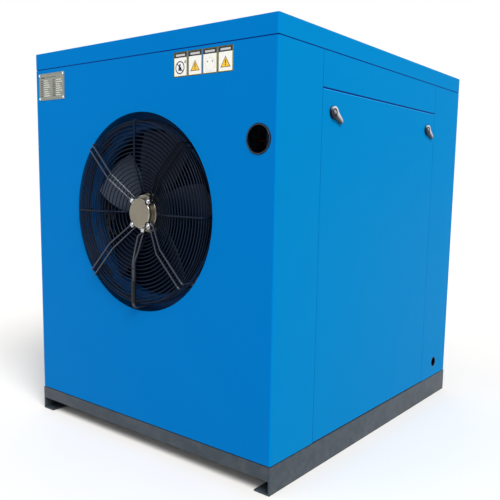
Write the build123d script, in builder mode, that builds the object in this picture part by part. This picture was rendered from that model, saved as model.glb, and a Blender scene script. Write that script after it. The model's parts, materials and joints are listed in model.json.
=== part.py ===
"""Refrigerated compressed-air dryer in a sheet-metal cabinet on a channel base.

Millimetres.  Origin at the centre of the underside of the base, +Z up,
the fan face looks along -Y and the access door along +X.
"""
import os
from math import cos, radians, sin

from build123d import *

# Cabinet
WIDTH = 1040.0
DEPTH = 1180.0
HEIGHT = 1250.0
SHEET = 2.0
CORNER_R = 6.0
BODY_Z0 = 83.0
BODY_Z1 = 1195.0
LID_Z0 = 1198.0
SEAM = 1.5
FRONT_STRIP_Y = -386.0
REAR_STRIP_Y = 365.0

# Base
BASE_H = 80.0
RAIL_FLANGE = 52.0
RAIL_WALL = 5.0
CROSS_H = 40.0
CROSS_D = 40.0
CROSS_WALL = 4.0
CROSS_Y = (-570.0, -180.0, 180.0, 570.0)
ANCHOR_R = 7.0
ANCHOR_X = 494.0
ANCHOR_Y = 450.0
PAN_INSET = 6.0

# Inner frame
POST = 30.0
POST_WALL = 3.0
POST_GAP = 0.5
ROOF_Z0 = 1192.0
ROOF_RIM = 60.0

# Access door, its rails and its two quarter-turn latches
DOOR_Z = (85.0, 1095.0)
DOOR_FLANGE = 14.0
HEADER_STRIP_Z0 = 1097.5
RAIL_X = (505.0, 508.0)
RAIL_BACK_X = 480.0
HEADER_Z = (1099.0, 1128.0)
SILL_Z = (84.5, 112.0)
RAIL_THICK = 3.0
PEG_R = 5.0
PEG_Z = 98.0
PEG_Y = (-300.0, 280.0)
PEG_CLEARANCE = 0.6
PEG_X0 = 485.0
PEG_COLLAR = (9.0, 6.0)
SILL_X = (495.0, 498.0)
SILL_BACK_X = 470.0
RAIL_LAP = 8.0
LATCH_Z = 1033.0
LATCH_FRONT_Y = -331.0
LATCH_REAR_Y = 301.0
BUSH_R = 11.0
BUSH_FLANGE_R = 16.0
BUSH_FLANGE = 2.0
BUSH_NUT = 7.0
BUSH_DEEP = 16.0
SPINDLE_R = 9.0
RUNNING_FIT = 0.05
HEAD_R = 17.0
TAIL_R = 8.0
TAIL_REACH = 42.0
TAIL_ANGLE = -30.0
HEAD_X = (522.3, 528.0)
TAIL_X = (523.0, 527.0)
HEAD_RECESS_R = 12.0
HEAD_INSERT = (10.0, 1.0)
SPINDLE_X0 = 496.0
CAM_THICK = 4.0
CAM_REACH = 66.0
CAM_HALF = 9.0
CAM_NUT = (7.0, 5.0)
KEY_SLOT = (2.4, 12.0, 3.0)

# Cabinet ports and plates
PORT_X = 462.5
PORT_Z = 945.0
PORT_HOLE_R = 38.0
PORT_BORE_R = 35.5
PORT_LIP_R = 40.0
PORT_LIP = 2.0
PORT_LIP_ROUND = 1.2
PORT_NUT = 3.0
DRAIN_Y = 476.0
DRAIN_Z = 139.0
DRAIN_HOLE_R = 19.5
DRAIN_BORE_R = 17.0
DRAIN_LIP_R = 23.0
DRAIN_LIP = 3.0
DRAIN_PIPE_R = 9.5
PLATE_X = -428.5
PLATE_Z = 1138.5
PLATE_SIZE = (143.0, 87.5)
PLATE_THICK = 1.0
RIVET_R = 2.4
RIVET_INSET = 5.5
RIVET_HEAD = 1.2
LABEL_X = (181.4, 237.5, 292.3, 347.8)
LABEL_Z = 1154.0
LABEL_SIZE = (52.5, 67.0)
LABEL_THICK = 0.4

# Axial fan; "depth" is measured inwards from the outer front plane
FAN_X = 6.5
FAN_Z = 735.0
FRONT_Y = -DEPTH / 2
OPENING_R = 300.0
COLLAR_DEPTH = (2.0, 39.0)
BULKHEAD_DEPTH = (39.0, 41.0)
BULKHEAD_HALF = 330.0
BULKHEAD_R = 264.0
THROAT_R = 253.0
THROAT_END = 71.0
BELL_R = 9.0
VENTURI_FLANGE_R = 290.0

# Wire guard
WIRE_R = 1.6
WIRE_SIDES = 8
SPOKE_R = 2.75
LEG_R = 2.5
FACE_DEPTH = -18.0
CONE_R = 150.0
CONE_RISE = 34.3 / 92.0
RING_START = 66.0
RING_PITCH = 11.55
RING_END = 266.0
RING_BEHIND_SPOKE = 3.6
RIM_RING_R = 271.2
RIM_RING_DEPTHS = (-13.0, -3.0, 7.0, 17.0)
SPOKE_ANGLES = (0, 90, 180, 270)
LEG_ANGLES = (45, 135, 225, 315)
SPOKE_INNER_R = 64.0
SPOKE_OUTER_R = 274.9
RIM_END = 36.0
BASE_RING_R = 276.0
BASE_RING_WIRE = 3.1
BASE_RING_DEPTH = 27.0
BEND_R = 6.0
LEG_OUTER_R = 281.5
LEG_DEPTH = -22.3
LEG_HALF = 10.0
LOOP_HALF = 8.2
LOOP_BEND_R = 7.9
LOOP_R = 43.6
LOOP_IN_R = 58.0
LOOP_DEPTH = 12.0
LEG_END = 37.0
FOOT_SIZE = (22.0, 46.0, 2.0)

# Motor
NUT_PCR = 51.6
NUT_R = 8.5
NUT_DEPTH = (2.1, 9.5)
NUT_DOME_R = 6.5
STUD_R = 4.0
STUD_CLEARANCE = 0.3
STUD_PROUD = 2.0
CAP_R = 45.0
CAP_DEPTH = (-1.0, 11.0)
CAP_ROUND = 3.0
HOUSING_R = 47.0
HOUSING_DEPTH = (11.0, 17.5)
FLANGE_R = 54.5
FLANGE_DEPTH = (17.5, 24.0)
LUG_R = 10.5
LUG_DEPTH = (14.6, 24.0)
NOTCH_R = 11.7
STEM_R = 34.0
STATOR_R = 60.0
STATOR_DEPTH = (38.0, 92.0)
ROTOR_R = 68.0
ROTOR_WALL = 4.0
ROTOR_DEPTH = (34.0, 106.0)
ROTOR_ROUND = 6.0
SHAFT_R = 8.0
BEARING_R = 15.0
BEARING_POCKET = 6.0
SHAFT_PROUD = 2.0
BEARING_DEPTHS = ((40.0, 50.0), (80.0, 90.0))
BLADES = 5
BLADE_RING = 3.0
BLADE_RING_INSET = 8.0
BLADE_DEPTH = 72.0
BLADE_TIP_R = 247.0
BLADE_THICK = 3.0
BLADE_SECTIONS = ((66.0, 0.0, 78.0, 42.0), (150.0, 24.0, 138.0, 30.0), (249.0, 66.0, 176.0, 21.0))

# Motor cable
CABLE_R = 2.6
CABLE_LANE = 2.75
CABLE_FACE_DEPTH = -25.0
CABLE_BENDS = (10.0, 20.0, 30.0, 14.0)
CABLE_START = 2.0
CABLE_RUNS = ((70.0, 3.5), (112.0, -10.5))
CABLE_BOWS = ((-11.0, -9.0), (8.5, 7.0))
CABLE_RIM_R = 288.0
SLEEVE_WIDE = 15.0
SLEEVE_DEEP = 8.0
SLEEVE_BORE_R = 2.7
SLEEVE_R = (272.0, 205.0)
GLAND_BLOCK = (7.0, (9.5, 17.5), (58.0, 47.3))
GLAND_ROUND = 3.0

# Condenser and shroud
SHROUD_HALF = 326.0
SHROUD_END = 150.0
COIL_HALF = 308.0
COIL_DEPTH = (152.0, 216.0)
END_PLATE = 3.0
TUBE_R = 5.0
TUBE_ROWS = 12
TUBE_PITCH = 48.0
STAND_FOOT = 40.0
STAND_WALL = 4.0
PLATE_LAP = (2.0, 6.0)
BEND_HALF = 15.0
BEND_REACH = 26.0
RETURN_BEND_R = 14.0

# Refrigerant circuit
COMP_X = 260.0
COMP_Y = -60.0
COMP_R = 105.0
COMP_Z = (107.0, 430.0)
COMP_DOME = 60.0
COMP_PLATE = 250.0
TERMINAL_BOX = (50.0, 35.0, (230.0, 320.0))
TERMINAL_LAP = 4.0
MOUNT_R = 15.0
MOUNT_OFFSET = 100.0
MOUNT_Z = (83.0, 103.0)
RECEIVER_XY = (20.0, -150.0)
RECEIVER_R = 55.0
RECEIVER_Z = (95.0, 330.0)
RECEIVER_ROUND = 20.0
RECEIVER_FOOT_R = 33.0
DRIER_R = 30.0
DRIER_Y = (-90.0, 60.0)
DRIER_XZ = (20.0, 420.0)
DRIER_ROUND = 10.0
COPPER_R = 8.0
SUCTION_R = 11.0
COPPER_BENDS = (24.0, 22.0)
COPPER_STAND_OFF = 60.0
HOT_GAS_OFFSET = 30.0
HOT_GAS_Z = (560.0, 980.0)
LIQUID_X = -60.0
LIQUID_Z = 470.0
SUCTION_Z = 800.0
SUCTION_OFFSET = (10.0, 30.0)
SUCTION_BEND_R = 60.0

# Air side
EXCH_XY = (-250.0, 60.0)
EXCH_HALF = 130.0
EXCH_Z = (150.0, 950.0)
EXCH_FILLET = 25.0
EXCH_FOOT = (30.0, 20.0)
SEP_XY = (-20.0, 260.0)
SEP_R = 65.0
SEP_Z = (260.0, 720.0)
SEP_ROUND = 22.0
SEP_OUTLET = (12.0, 230.0)
SEP_OVERLAP = 5.0
BRANCH = (600.0, 60.0, 45.0, 25.0)
DRAIN_BODY = (30.0, (130.0, 230.0))
DRAIN_ROUTE = (150.0, 120.0, 45.0, 40.0)
AIR_Z = (860.0, 330.0)
AIR_X = -250.0
AIR_PIPE_R = 38.0
AIR_BORE_R = 34.0
AIR_HOLE_R = 44.0
AIR_END_Y = 650.0
AIR_FLANGE_R = 92.5
AIR_FLANGE_T = 18.0
AIR_PCR = 72.5
AIR_BOLT_R = 9.0
AIR_BOLTS = 4
AIR_BOLT_TURN = 45.0

# Electrical side, on the rear
PANEL_X = (240.0, 480.0)
PANEL_Z = (820.0, 1100.0)
PANEL_T = 4.0
PANEL_LAP = 10.0
BOX_DEPTH = 120.0
GLAND_X = 420.0
GLAND_Z = 760.0
GLAND_R = 16.0
GLAND_HOLE_R = 12.5
GLAND_BORE_R = 7.0
GLAND_NUT = (18.0, 5.0)
GLAND_SHANK = (12.2, 8.0, 4.0)
GLAND_LONG = 22.0
GAUGE_X = (310.0, 410.0)
GAUGE_Z = 1045.0
GAUGE_R = 34.0
GAUGE_CUP = 2.5
GAUGE_DEEP = 22.0
GAUGE_PROUD = 4.0
GAUGE_CLEARANCE = 0.5
NEEDLE_LONG = 22.0
NEEDLE_W = 2.4
NEEDLE_TAIL = 8.0
NEEDLE_BOSS = (4.0, 4.0, 7.0)
NEEDLE_BLADE = (4.5, 6.0)
SWITCH_X = 410.0
SWITCH_Z = 870.0
SWITCH_DISC = (22.0, 0.5, 6.0)
SWITCH_GRIP = (6.0, 20.0, 22.0)
SWITCH_STEM = (8.0, 12.0, 3.0)
BUTTON_X = (290.0, 345.0)
BUTTON_Z = 870.0
BUTTON_R = 11.0
BUTTON_PROUD = 9.0
BUTTON_CAP = (14.0, 3.0)
BUTTON_STEM = 12.0
BUTTON_GAP = 0.6
DISPLAY_X = (285.0, 435.0)
DISPLAY_Z = (915.0, 985.0)
DISPLAY_GAP = 0.5
DISPLAY_BODY = (30.0, 1.5)

# Louvred left panel
LOUVRE_ROWS = 18
LOUVRE_PITCH = 36.0
LOUVRE_LONG = 280.0
LOUVRE_HIGH = 10.0
LOUVRE_Z = 330.0
LOUVRE_Y = (-175.0, 155.0)
SCREW_R = 5.0
SCREW_HEAD = 3.0
SCREW_INSET = 15.0
SCREW_Z = (110.0, 450.0, 830.0, 1165.0)

HALF_W = WIDTH / 2
HALF_D = DEPTH / 2
IN_W = HALF_W - SHEET
IN_D = HALF_D - SHEET
TURN = {"x": (0, 90, 0), "y": (90, 0, 0), "z": (0, 0, 0)}


def slab(xs, ys, zs, mode=Mode.ADD):
    """Box between two limits on each axis."""
    with Locations(tuple((low + high) / 2 for low, high in (xs, ys, zs))):
        Box(xs[1] - xs[0], ys[1] - ys[0], zs[1] - zs[0], mode=mode)


def rod(axis, centre, radius, span, mode=Mode.ADD):
    """Cylinder along an axis, placed by its two other coordinates."""
    middle = (span[0] + span[1]) / 2
    first, second = centre
    spot = {"x": (middle, first, second), "y": (first, middle, second), "z": (first, second, middle)}
    with Locations(Location(spot[axis], TURN[axis])):
        Cylinder(radius, span[1] - span[0], mode=mode)


def tube(axis, centre, outer, inner, span):
    """Hollow cylinder."""
    rod(axis, centre, outer, span)
    rod(axis, centre, inner, span, Mode.SUBTRACT)


def depth_span(depths):
    """Y limits of a pair of depths behind the front plane."""
    return FRONT_Y + depths[0], FRONT_Y + depths[1]


def fan_rod(radius, depths, mode=Mode.ADD):
    """Cylinder on the fan axis between two depths."""
    rod("y", (FAN_X, FAN_Z), radius, depth_span(depths), mode)


def fan_point(radius, angle, depth, side=0.0):
    """Point at a radius and angle about the fan axis, shifted sideways."""
    turn = radians(angle)
    x = FAN_X + radius * cos(turn) - side * sin(turn)
    z = FAN_Z + radius * sin(turn) + side * cos(turn)
    return x, FRONT_Y + depth, z


def wire(points, bends, radius):
    """Round bar along straight runs joined by tangent arcs."""
    with BuildLine() as path:
        FilletPolyline(*points, radius=bends)
    with BuildSketch(Plane(origin=path.line @ 0, z_dir=path.line % 0)) as section:
        Circle(radius)
    sweep(section.sketch, path=path.line)


def wrap_panel(y_open, y_face, fillet_group):
    """U-shaped cabinet sheet, open towards y_open and closed at y_face."""
    inward = 1 if y_open > y_face else -1
    height = BODY_Z1 - BODY_Z0
    with BuildSketch(Plane.XY.offset(BODY_Z0)) as outline:
        with Locations((0, (y_open + y_face) / 2)):
            outer = Rectangle(WIDTH, abs(y_open - y_face))
        fillet(outer.vertices().group_by(Axis.Y)[fillet_group], CORNER_R)
    extrude(outline.sketch, amount=height)
    inner_open = y_open + inward
    inner_face = y_face + inward * SHEET
    with BuildSketch(Plane.XY.offset(BODY_Z0)) as cavity:
        with Locations((0, (inner_open + inner_face) / 2)):
            inner = Rectangle(2 * IN_W, abs(inner_open - inner_face))
        fillet(inner.vertices().group_by(Axis.Y)[fillet_group], CORNER_R - SHEET)
    extrude(cavity.sketch, amount=height, mode=Mode.SUBTRACT)


def spoke_depth(radius):
    """Depth of the guard's radial wires: flat rim zone, cone towards the hub."""
    return FACE_DEPTH + max(0.0, CONE_R - radius) * CONE_RISE


os.makedirs("parts", exist_ok=True)

# ---------------------------------------------------------------- base
def base_rail(side):
    """Channel with its web outwards and two anchor holes in the lower flange."""
    web = sorted((side * HALF_W, side * (HALF_W - RAIL_FLANGE)))
    hollow = sorted((side * (HALF_W - RAIL_WALL), side * (HALF_W - RAIL_FLANGE - 1)))
    slab(web, (-HALF_D, HALF_D), (0, BASE_H))
    slab(hollow, (-HALF_D - 1, HALF_D + 1), (RAIL_WALL, BASE_H - RAIL_WALL), Mode.SUBTRACT)
    for y in (-ANCHOR_Y, ANCHOR_Y):
        rod("z", (side * ANCHOR_X, y), ANCHOR_R, (-1, RAIL_WALL + 1), Mode.SUBTRACT)
    for end in (-1, 1):
        notch = sorted((end * (HALF_D - CROSS_D), end * (HALF_D + 1)))
        slab(hollow, notch, (BASE_H - CROSS_H, BASE_H + 1), Mode.SUBTRACT)


with BuildPart() as base_rail_right:
    base_rail(1)
base_rail_right.part.label = "base_rail_right"
export_step(base_rail_right.part, "parts/base_rail_right.step")

with BuildPart() as base_rail_left:
    base_rail(-1)
base_rail_left.part.label = "base_rail_left"
export_step(base_rail_left.part, "parts/base_rail_left.step")

with BuildPart() as base_crossmembers:
    for middle in CROSS_Y:
        face = 1 if middle > 0 else -1
        ys = (middle - CROSS_D / 2, middle + CROSS_D / 2)
        cut = sorted((middle + face * (CROSS_D / 2 - CROSS_WALL), middle - face * CROSS_D))
        outer = abs(middle) > HALF_D - CROSS_D
        reach = HALF_W - (RAIL_WALL if outer else RAIL_FLANGE)
        slab((-reach, reach), ys, (BASE_H - CROSS_H, BASE_H))
        inner_z = (BASE_H - CROSS_H + CROSS_WALL, BASE_H - CROSS_WALL)
        slab((-reach - 1, reach + 1), cut, inner_z, Mode.SUBTRACT)
base_crossmembers.part.label = "base_crossmembers"
export_step(base_crossmembers.part, "parts/base_crossmembers.step")

with BuildPart() as floor_pan:
    reach_x = HALF_W - PAN_INSET
    reach_y = HALF_D - PAN_INSET
    slab((-reach_x, reach_x), (-reach_y, reach_y), (BASE_H, BODY_Z0))
    for side in (-1, 1):
        for front in (-1, 1):
            at = (COMP_X + side * MOUNT_OFFSET, COMP_Y + front * MOUNT_OFFSET)
            rod("z", at, STUD_R, (BASE_H - 1, BODY_Z0 + 1), Mode.SUBTRACT)
floor_pan.part.label = "floor_pan"
export_step(floor_pan.part, "parts/floor_pan.step")

with BuildPart() as inner_frame:
    for side in (-1, 1):
        for front in (-1, 1):
            edge_x = IN_W - POST_GAP - CORNER_R
            edge_y = IN_D - POST_GAP - CORNER_R
            xs = sorted((side * edge_x, side * (edge_x - POST)))
            ys = sorted((front * edge_y, front * (edge_y - POST)))
            slab(xs, ys, (BODY_Z0, ROOF_Z0))
            cut_x = sorted((side * (edge_x - POST_WALL), side * (edge_x - POST - 1)))
            cut_y = sorted((front * (edge_y - POST_WALL), front * (edge_y - POST - 1)))
            slab(cut_x, cut_y, (BODY_Z0 - 1, ROOF_Z0 + 1), Mode.SUBTRACT)
    reach_x = HALF_W - PAN_INSET
    reach_y = HALF_D - PAN_INSET
    slab((-reach_x, reach_x), (-reach_y, reach_y), (ROOF_Z0, LID_Z0))
    inner_x = reach_x - ROOF_RIM
    inner_y = reach_y - ROOF_RIM
    slab((-inner_x, inner_x), (-inner_y, inner_y), (ROOF_Z0 - 1, LID_Z0 + 1), Mode.SUBTRACT)
inner_frame.part.label = "inner_frame"
export_step(inner_frame.part, "parts/inner_frame.step")

# ---------------------------------------------------------------- cabinet sheets
with BuildPart() as lid:
    with BuildSketch(Plane.XY.offset(LID_Z0)):
        RectangleRounded(WIDTH, DEPTH, CORNER_R)
    extrude(amount=HEIGHT - LID_Z0)
    fillet(lid.edges().group_by(Axis.Z)[-1], CORNER_R / 2)
    slab((-IN_W, IN_W), (-IN_D, IN_D), (LID_Z0 - 1, HEIGHT - SHEET), Mode.SUBTRACT)
lid.part.label = "lid"
export_step(lid.part, "parts/lid.step")

with BuildPart() as front_panel:
    wrap_panel(FRONT_STRIP_Y - SEAM / 2, -HALF_D, 0)
    fan_rod(OPENING_R, (-1.0, SHEET + 1.0), Mode.SUBTRACT)
    rod("y", (PORT_X, PORT_Z), PORT_HOLE_R, (-HALF_D - 1, -IN_D + 1), Mode.SUBTRACT)
front_panel.part.label = "front_panel"
export_step(front_panel.part, "parts/front_panel.step")

with BuildPart() as rear_panel:
    wrap_panel(REAR_STRIP_Y + SEAM / 2, HALF_D, -1)
    rod("x", (DRAIN_Y, DRAIN_Z), DRAIN_HOLE_R, (IN_W - 1, HALF_W + 1), Mode.SUBTRACT)
    for z in AIR_Z:
        rod("y", (AIR_X, z), AIR_HOLE_R, (IN_D - 1, HALF_D + 1), Mode.SUBTRACT)
    cut_x = (PANEL_X[0] + PANEL_LAP, PANEL_X[1] - PANEL_LAP)
    cut_z = (PANEL_Z[0] + PANEL_LAP, PANEL_Z[1] - PANEL_LAP)
    slab(cut_x, (IN_D - 1, HALF_D + 1), cut_z, Mode.SUBTRACT)
    rod("y", (GLAND_X, GLAND_Z), GLAND_HOLE_R, (IN_D - 1, HALF_D + 1), Mode.SUBTRACT)
rear_panel.part.label = "rear_panel"
export_step(rear_panel.part, "parts/rear_panel.step")

with BuildPart() as left_panel:
    left_y = (FRONT_STRIP_Y + SEAM / 2, REAR_STRIP_Y - SEAM / 2)
    slab((-HALF_W, -IN_W), left_y, (BODY_Z0, BODY_Z1))
    for row in range(LOUVRE_ROWS):
        for y in LOUVRE_Y:
            ys = (y - LOUVRE_LONG / 2, y + LOUVRE_LONG / 2)
            z = LOUVRE_Z + row * LOUVRE_PITCH
            slab((-HALF_W - 1, -IN_W + 1), ys, (z, z + LOUVRE_HIGH), Mode.SUBTRACT)
left_panel.part.label = "left_panel"
export_step(left_panel.part, "parts/left_panel.step")

with BuildPart() as header_strip:
    strip_y = (FRONT_STRIP_Y + SEAM / 2, REAR_STRIP_Y - SEAM / 2)
    slab((IN_W, HALF_W), strip_y, (HEADER_STRIP_Z0, BODY_Z1))
    lip_z = (HEADER_STRIP_Z0, HEADER_STRIP_Z0 + SHEET)
    slab((RAIL_X[1] + 1, HALF_W), strip_y, lip_z)
header_strip.part.label = "header_strip"
export_step(header_strip.part, "parts/header_strip.step")

with BuildPart() as door_rails:
    rail_y = (FRONT_STRIP_Y - RAIL_LAP, REAR_STRIP_Y + RAIL_LAP)
    slab(RAIL_X, rail_y, HEADER_Z)
    slab((RAIL_BACK_X, RAIL_X[1]), rail_y, (HEADER_Z[1] - RAIL_THICK, HEADER_Z[1]))
    slab(SILL_X, rail_y, SILL_Z)
    slab((SILL_BACK_X, SILL_X[1]), rail_y, (SILL_Z[0], SILL_Z[0] + RAIL_THICK))
    for y in PEG_Y:
        hole = PEG_R + PEG_CLEARANCE
        rod("x", (y, PEG_Z), hole, (SILL_X[0] - 1, SILL_X[1] + 1), Mode.SUBTRACT)
door_rails.part.label = "door_rails"
export_step(door_rails.part, "parts/door_rails.step")

# ---------------------------------------------------------------- access door
DOOR_Y = (FRONT_STRIP_Y + SEAM / 2, REAR_STRIP_Y - SEAM / 2)

with BuildPart() as access_door:
    slab((IN_W - DOOR_FLANGE, HALF_W), DOOR_Y, DOOR_Z)
    inner_y = (DOOR_Y[0] + SHEET, DOOR_Y[1] - SHEET)
    inner_z = (DOOR_Z[0] + SHEET, DOOR_Z[1] - SHEET)
    slab((IN_W - DOOR_FLANGE - 1, IN_W), inner_y, inner_z, Mode.SUBTRACT)
    for y in (LATCH_FRONT_Y, LATCH_REAR_Y):
        rod("x", (y, LATCH_Z), BUSH_R, (IN_W - 1, HALF_W + 1), Mode.SUBTRACT)
    for y in PEG_Y:
        rod("x", (y, PEG_Z), PEG_R, (PEG_X0, IN_W))
        rod("x", (y, PEG_Z), PEG_COLLAR[0], (IN_W - PEG_COLLAR[1], IN_W))
access_door.part.label = "access_door"
export_step(access_door.part, "parts/access_door.step")

with BuildPart() as latch_bushes:
    for y in (LATCH_FRONT_Y, LATCH_REAR_Y):
        rod("x", (y, LATCH_Z), BUSH_R, (IN_W - BUSH_DEEP, HALF_W + BUSH_FLANGE))
        rod("x", (y, LATCH_Z), BUSH_FLANGE_R, (HALF_W, HALF_W + BUSH_FLANGE))
        rod("x", (y, LATCH_Z), BUSH_FLANGE_R, (IN_W - BUSH_NUT, IN_W))
        bore = SPINDLE_R + RUNNING_FIT
        through = (IN_W - BUSH_DEEP - 1, HALF_W + BUSH_FLANGE + 1)
        rod("x", (y, LATCH_Z), bore, through, Mode.SUBTRACT)
latch_bushes.part.label = "latch_bushes"
export_step(latch_bushes.part, "parts/latch_bushes.step")


def latch_knob(y):
    """Round head with a teardrop tail slanting down, and its spindle."""
    with BuildSketch(Plane.YZ.offset(TAIL_X[0])) as teardrop:
        with Locations((y, LATCH_Z)):
            Circle(HEAD_R - 2)
        slant = radians(TAIL_ANGLE)
        with Locations((y + TAIL_REACH * cos(slant), LATCH_Z + TAIL_REACH * sin(slant))):
            Circle(TAIL_R)
        make_hull()
    extrude(teardrop.sketch, amount=TAIL_X[1] - TAIL_X[0])
    rod("x", (y, LATCH_Z), HEAD_R, HEAD_X)
    recess = (HEAD_X[1] - KEY_SLOT[2], HEAD_X[1] + 1)
    rod("x", (y, LATCH_Z), HEAD_RECESS_R, recess, Mode.SUBTRACT)
    rod("x", (y, LATCH_Z), HEAD_INSERT[0], (HEAD_X[0], HEAD_X[1] - HEAD_INSERT[1]))
    slot_y = (y - KEY_SLOT[0] / 2, y + KEY_SLOT[0] / 2)
    slot_z = (LATCH_Z - KEY_SLOT[1] / 2, LATCH_Z + KEY_SLOT[1] / 2)
    slab(recess, slot_y, slot_z, Mode.SUBTRACT)
    rod("x", (y, LATCH_Z), SPINDLE_R, (SPINDLE_X0, HEAD_X[0]))


def latch_cam(y, direction):
    """Flat cam on the spindle's inner end."""
    with BuildSketch(Plane.YZ.offset(SPINDLE_X0 - CAM_THICK)) as arm:
        with Locations((y + direction * CAM_REACH / 2, LATCH_Z)):
            SlotOverall(CAM_REACH + 2 * CAM_HALF, 2 * CAM_HALF)
    extrude(arm.sketch, amount=CAM_THICK)
    nut = (SPINDLE_X0 - CAM_THICK - CAM_NUT[1], SPINDLE_X0 - CAM_THICK)
    rod("x", (y, LATCH_Z), CAM_NUT[0], nut)


with BuildPart() as latch_knob_front:
    latch_knob(LATCH_FRONT_Y)
latch_knob_front.part.label = "latch_knob_front"
export_step(latch_knob_front.part, "parts/latch_knob_front.step")

with BuildPart() as latch_knob_rear:
    latch_knob(LATCH_REAR_Y)
latch_knob_rear.part.label = "latch_knob_rear"
export_step(latch_knob_rear.part, "parts/latch_knob_rear.step")

with BuildPart() as latch_cam_front:
    latch_cam(LATCH_FRONT_Y, 1)
latch_cam_front.part.label = "latch_cam_front"
export_step(latch_cam_front.part, "parts/latch_cam_front.step")

with BuildPart() as latch_cam_rear:
    latch_cam(LATCH_REAR_Y, -1)
latch_cam_rear.part.label = "latch_cam_rear"
export_step(latch_cam_rear.part, "parts/latch_cam_rear.step")

# ---------------------------------------------------------------- ports and plates
with BuildPart() as port_grommet:
    rod("y", (PORT_X, PORT_Z), PORT_LIP_R, (-HALF_D - PORT_LIP, -HALF_D))
    rounded = port_grommet.edges().filter_by(GeomType.CIRCLE).group_by(Axis.Y)[0]
    fillet(rounded, PORT_LIP_ROUND)
    rod("y", (PORT_X, PORT_Z), PORT_HOLE_R, (-HALF_D, -IN_D))
    rod("y", (PORT_X, PORT_Z), PORT_LIP_R, (-IN_D, -IN_D + PORT_NUT))
    through = (-HALF_D - PORT_LIP - 1, -IN_D + PORT_NUT + 1)
    rod("y", (PORT_X, PORT_Z), PORT_BORE_R, through, Mode.SUBTRACT)
port_grommet.part.label = "port_grommet"
export_step(port_grommet.part, "parts/port_grommet.step")

with BuildPart() as drain_grommet:
    rod("x", (DRAIN_Y, DRAIN_Z), DRAIN_LIP_R, (IN_W - DRAIN_LIP, IN_W))
    rod("x", (DRAIN_Y, DRAIN_Z), DRAIN_HOLE_R, (IN_W, HALF_W))
    through = (IN_W - DRAIN_LIP - 1, HALF_W + 1)
    rod("x", (DRAIN_Y, DRAIN_Z), DRAIN_BORE_R, through, Mode.SUBTRACT)
drain_grommet.part.label = "drain_grommet"
export_step(drain_grommet.part, "parts/drain_grommet.step")

with BuildPart() as nameplate:
    plate_x = (PLATE_X - PLATE_SIZE[0] / 2, PLATE_X + PLATE_SIZE[0] / 2)
    plate_z = (PLATE_Z - PLATE_SIZE[1] / 2, PLATE_Z + PLATE_SIZE[1] / 2)
    slab(plate_x, (-HALF_D - PLATE_THICK, -HALF_D), plate_z)
nameplate.part.label = "nameplate"
export_step(nameplate.part, "parts/nameplate.step")

with BuildPart() as nameplate_rivets:
    for x in (plate_x[0] + RIVET_INSET, plate_x[1] - RIVET_INSET):
        for z in (plate_z[0] + RIVET_INSET, plate_z[1] - RIVET_INSET):
            head = (-HALF_D - PLATE_THICK - RIVET_HEAD, -HALF_D - PLATE_THICK)
            rod("y", (x, z), RIVET_R, head)
nameplate_rivets.part.label = "nameplate_rivets"
export_step(nameplate_rivets.part, "parts/nameplate_rivets.step")

with BuildPart() as warning_labels:
    for x in LABEL_X:
        xs = (x - LABEL_SIZE[0] / 2, x + LABEL_SIZE[0] / 2)
        zs = (LABEL_Z - LABEL_SIZE[1] / 2, LABEL_Z + LABEL_SIZE[1] / 2)
        slab(xs, (-HALF_D - LABEL_THICK, -HALF_D), zs)
warning_labels.part.label = "warning_labels"
export_step(warning_labels.part, "parts/warning_labels.step")

# ---------------------------------------------------------------- fan cowl
with BuildPart() as fan_bulkhead:
    xs = (FAN_X - BULKHEAD_HALF, FAN_X + BULKHEAD_HALF)
    zs = (FAN_Z - BULKHEAD_HALF, FAN_Z + BULKHEAD_HALF)
    slab(xs, depth_span(BULKHEAD_DEPTH), zs)
    fan_rod(OPENING_R + SHEET, COLLAR_DEPTH)
    fan_rod(OPENING_R, (COLLAR_DEPTH[0] - 1, COLLAR_DEPTH[1]), Mode.SUBTRACT)
    fan_rod(BULKHEAD_R, (BULKHEAD_DEPTH[0] - 1, BULKHEAD_DEPTH[1] + 1), Mode.SUBTRACT)
fan_bulkhead.part.label = "fan_bulkhead"
export_step(fan_bulkhead.part, "parts/fan_bulkhead.step")

with BuildPart() as venturi_ring:
    front = BULKHEAD_DEPTH[1]
    with BuildSketch(Plane.XY.offset(FAN_Z)):
        with BuildLine():
            Polyline(
                (FAN_X + THROAT_R + BELL_R, FRONT_Y + front),
                (FAN_X + VENTURI_FLANGE_R, FRONT_Y + front),
                (FAN_X + VENTURI_FLANGE_R, FRONT_Y + front + SHEET),
                (FAN_X + THROAT_R + BELL_R, FRONT_Y + front + SHEET),
            )
            CenterArc(
                (FAN_X + THROAT_R + BELL_R, FRONT_Y + front + BELL_R), BELL_R - SHEET, -90, -90
            )
            Polyline(
                (FAN_X + THROAT_R + SHEET, FRONT_Y + front + BELL_R),
                (FAN_X + THROAT_R + SHEET, FRONT_Y + THROAT_END),
                (FAN_X + THROAT_R, FRONT_Y + THROAT_END),
                (FAN_X + THROAT_R, FRONT_Y + front + BELL_R),
            )
            CenterArc(
                (FAN_X + THROAT_R + BELL_R, FRONT_Y + front + BELL_R), BELL_R, 180, 90
            )
        make_face()
    revolve(axis=Axis((FAN_X, 0, FAN_Z), (0, 1, 0)))
venturi_ring.part.label = "venturi_ring"
export_step(venturi_ring.part, "parts/venturi_ring.step")

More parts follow.
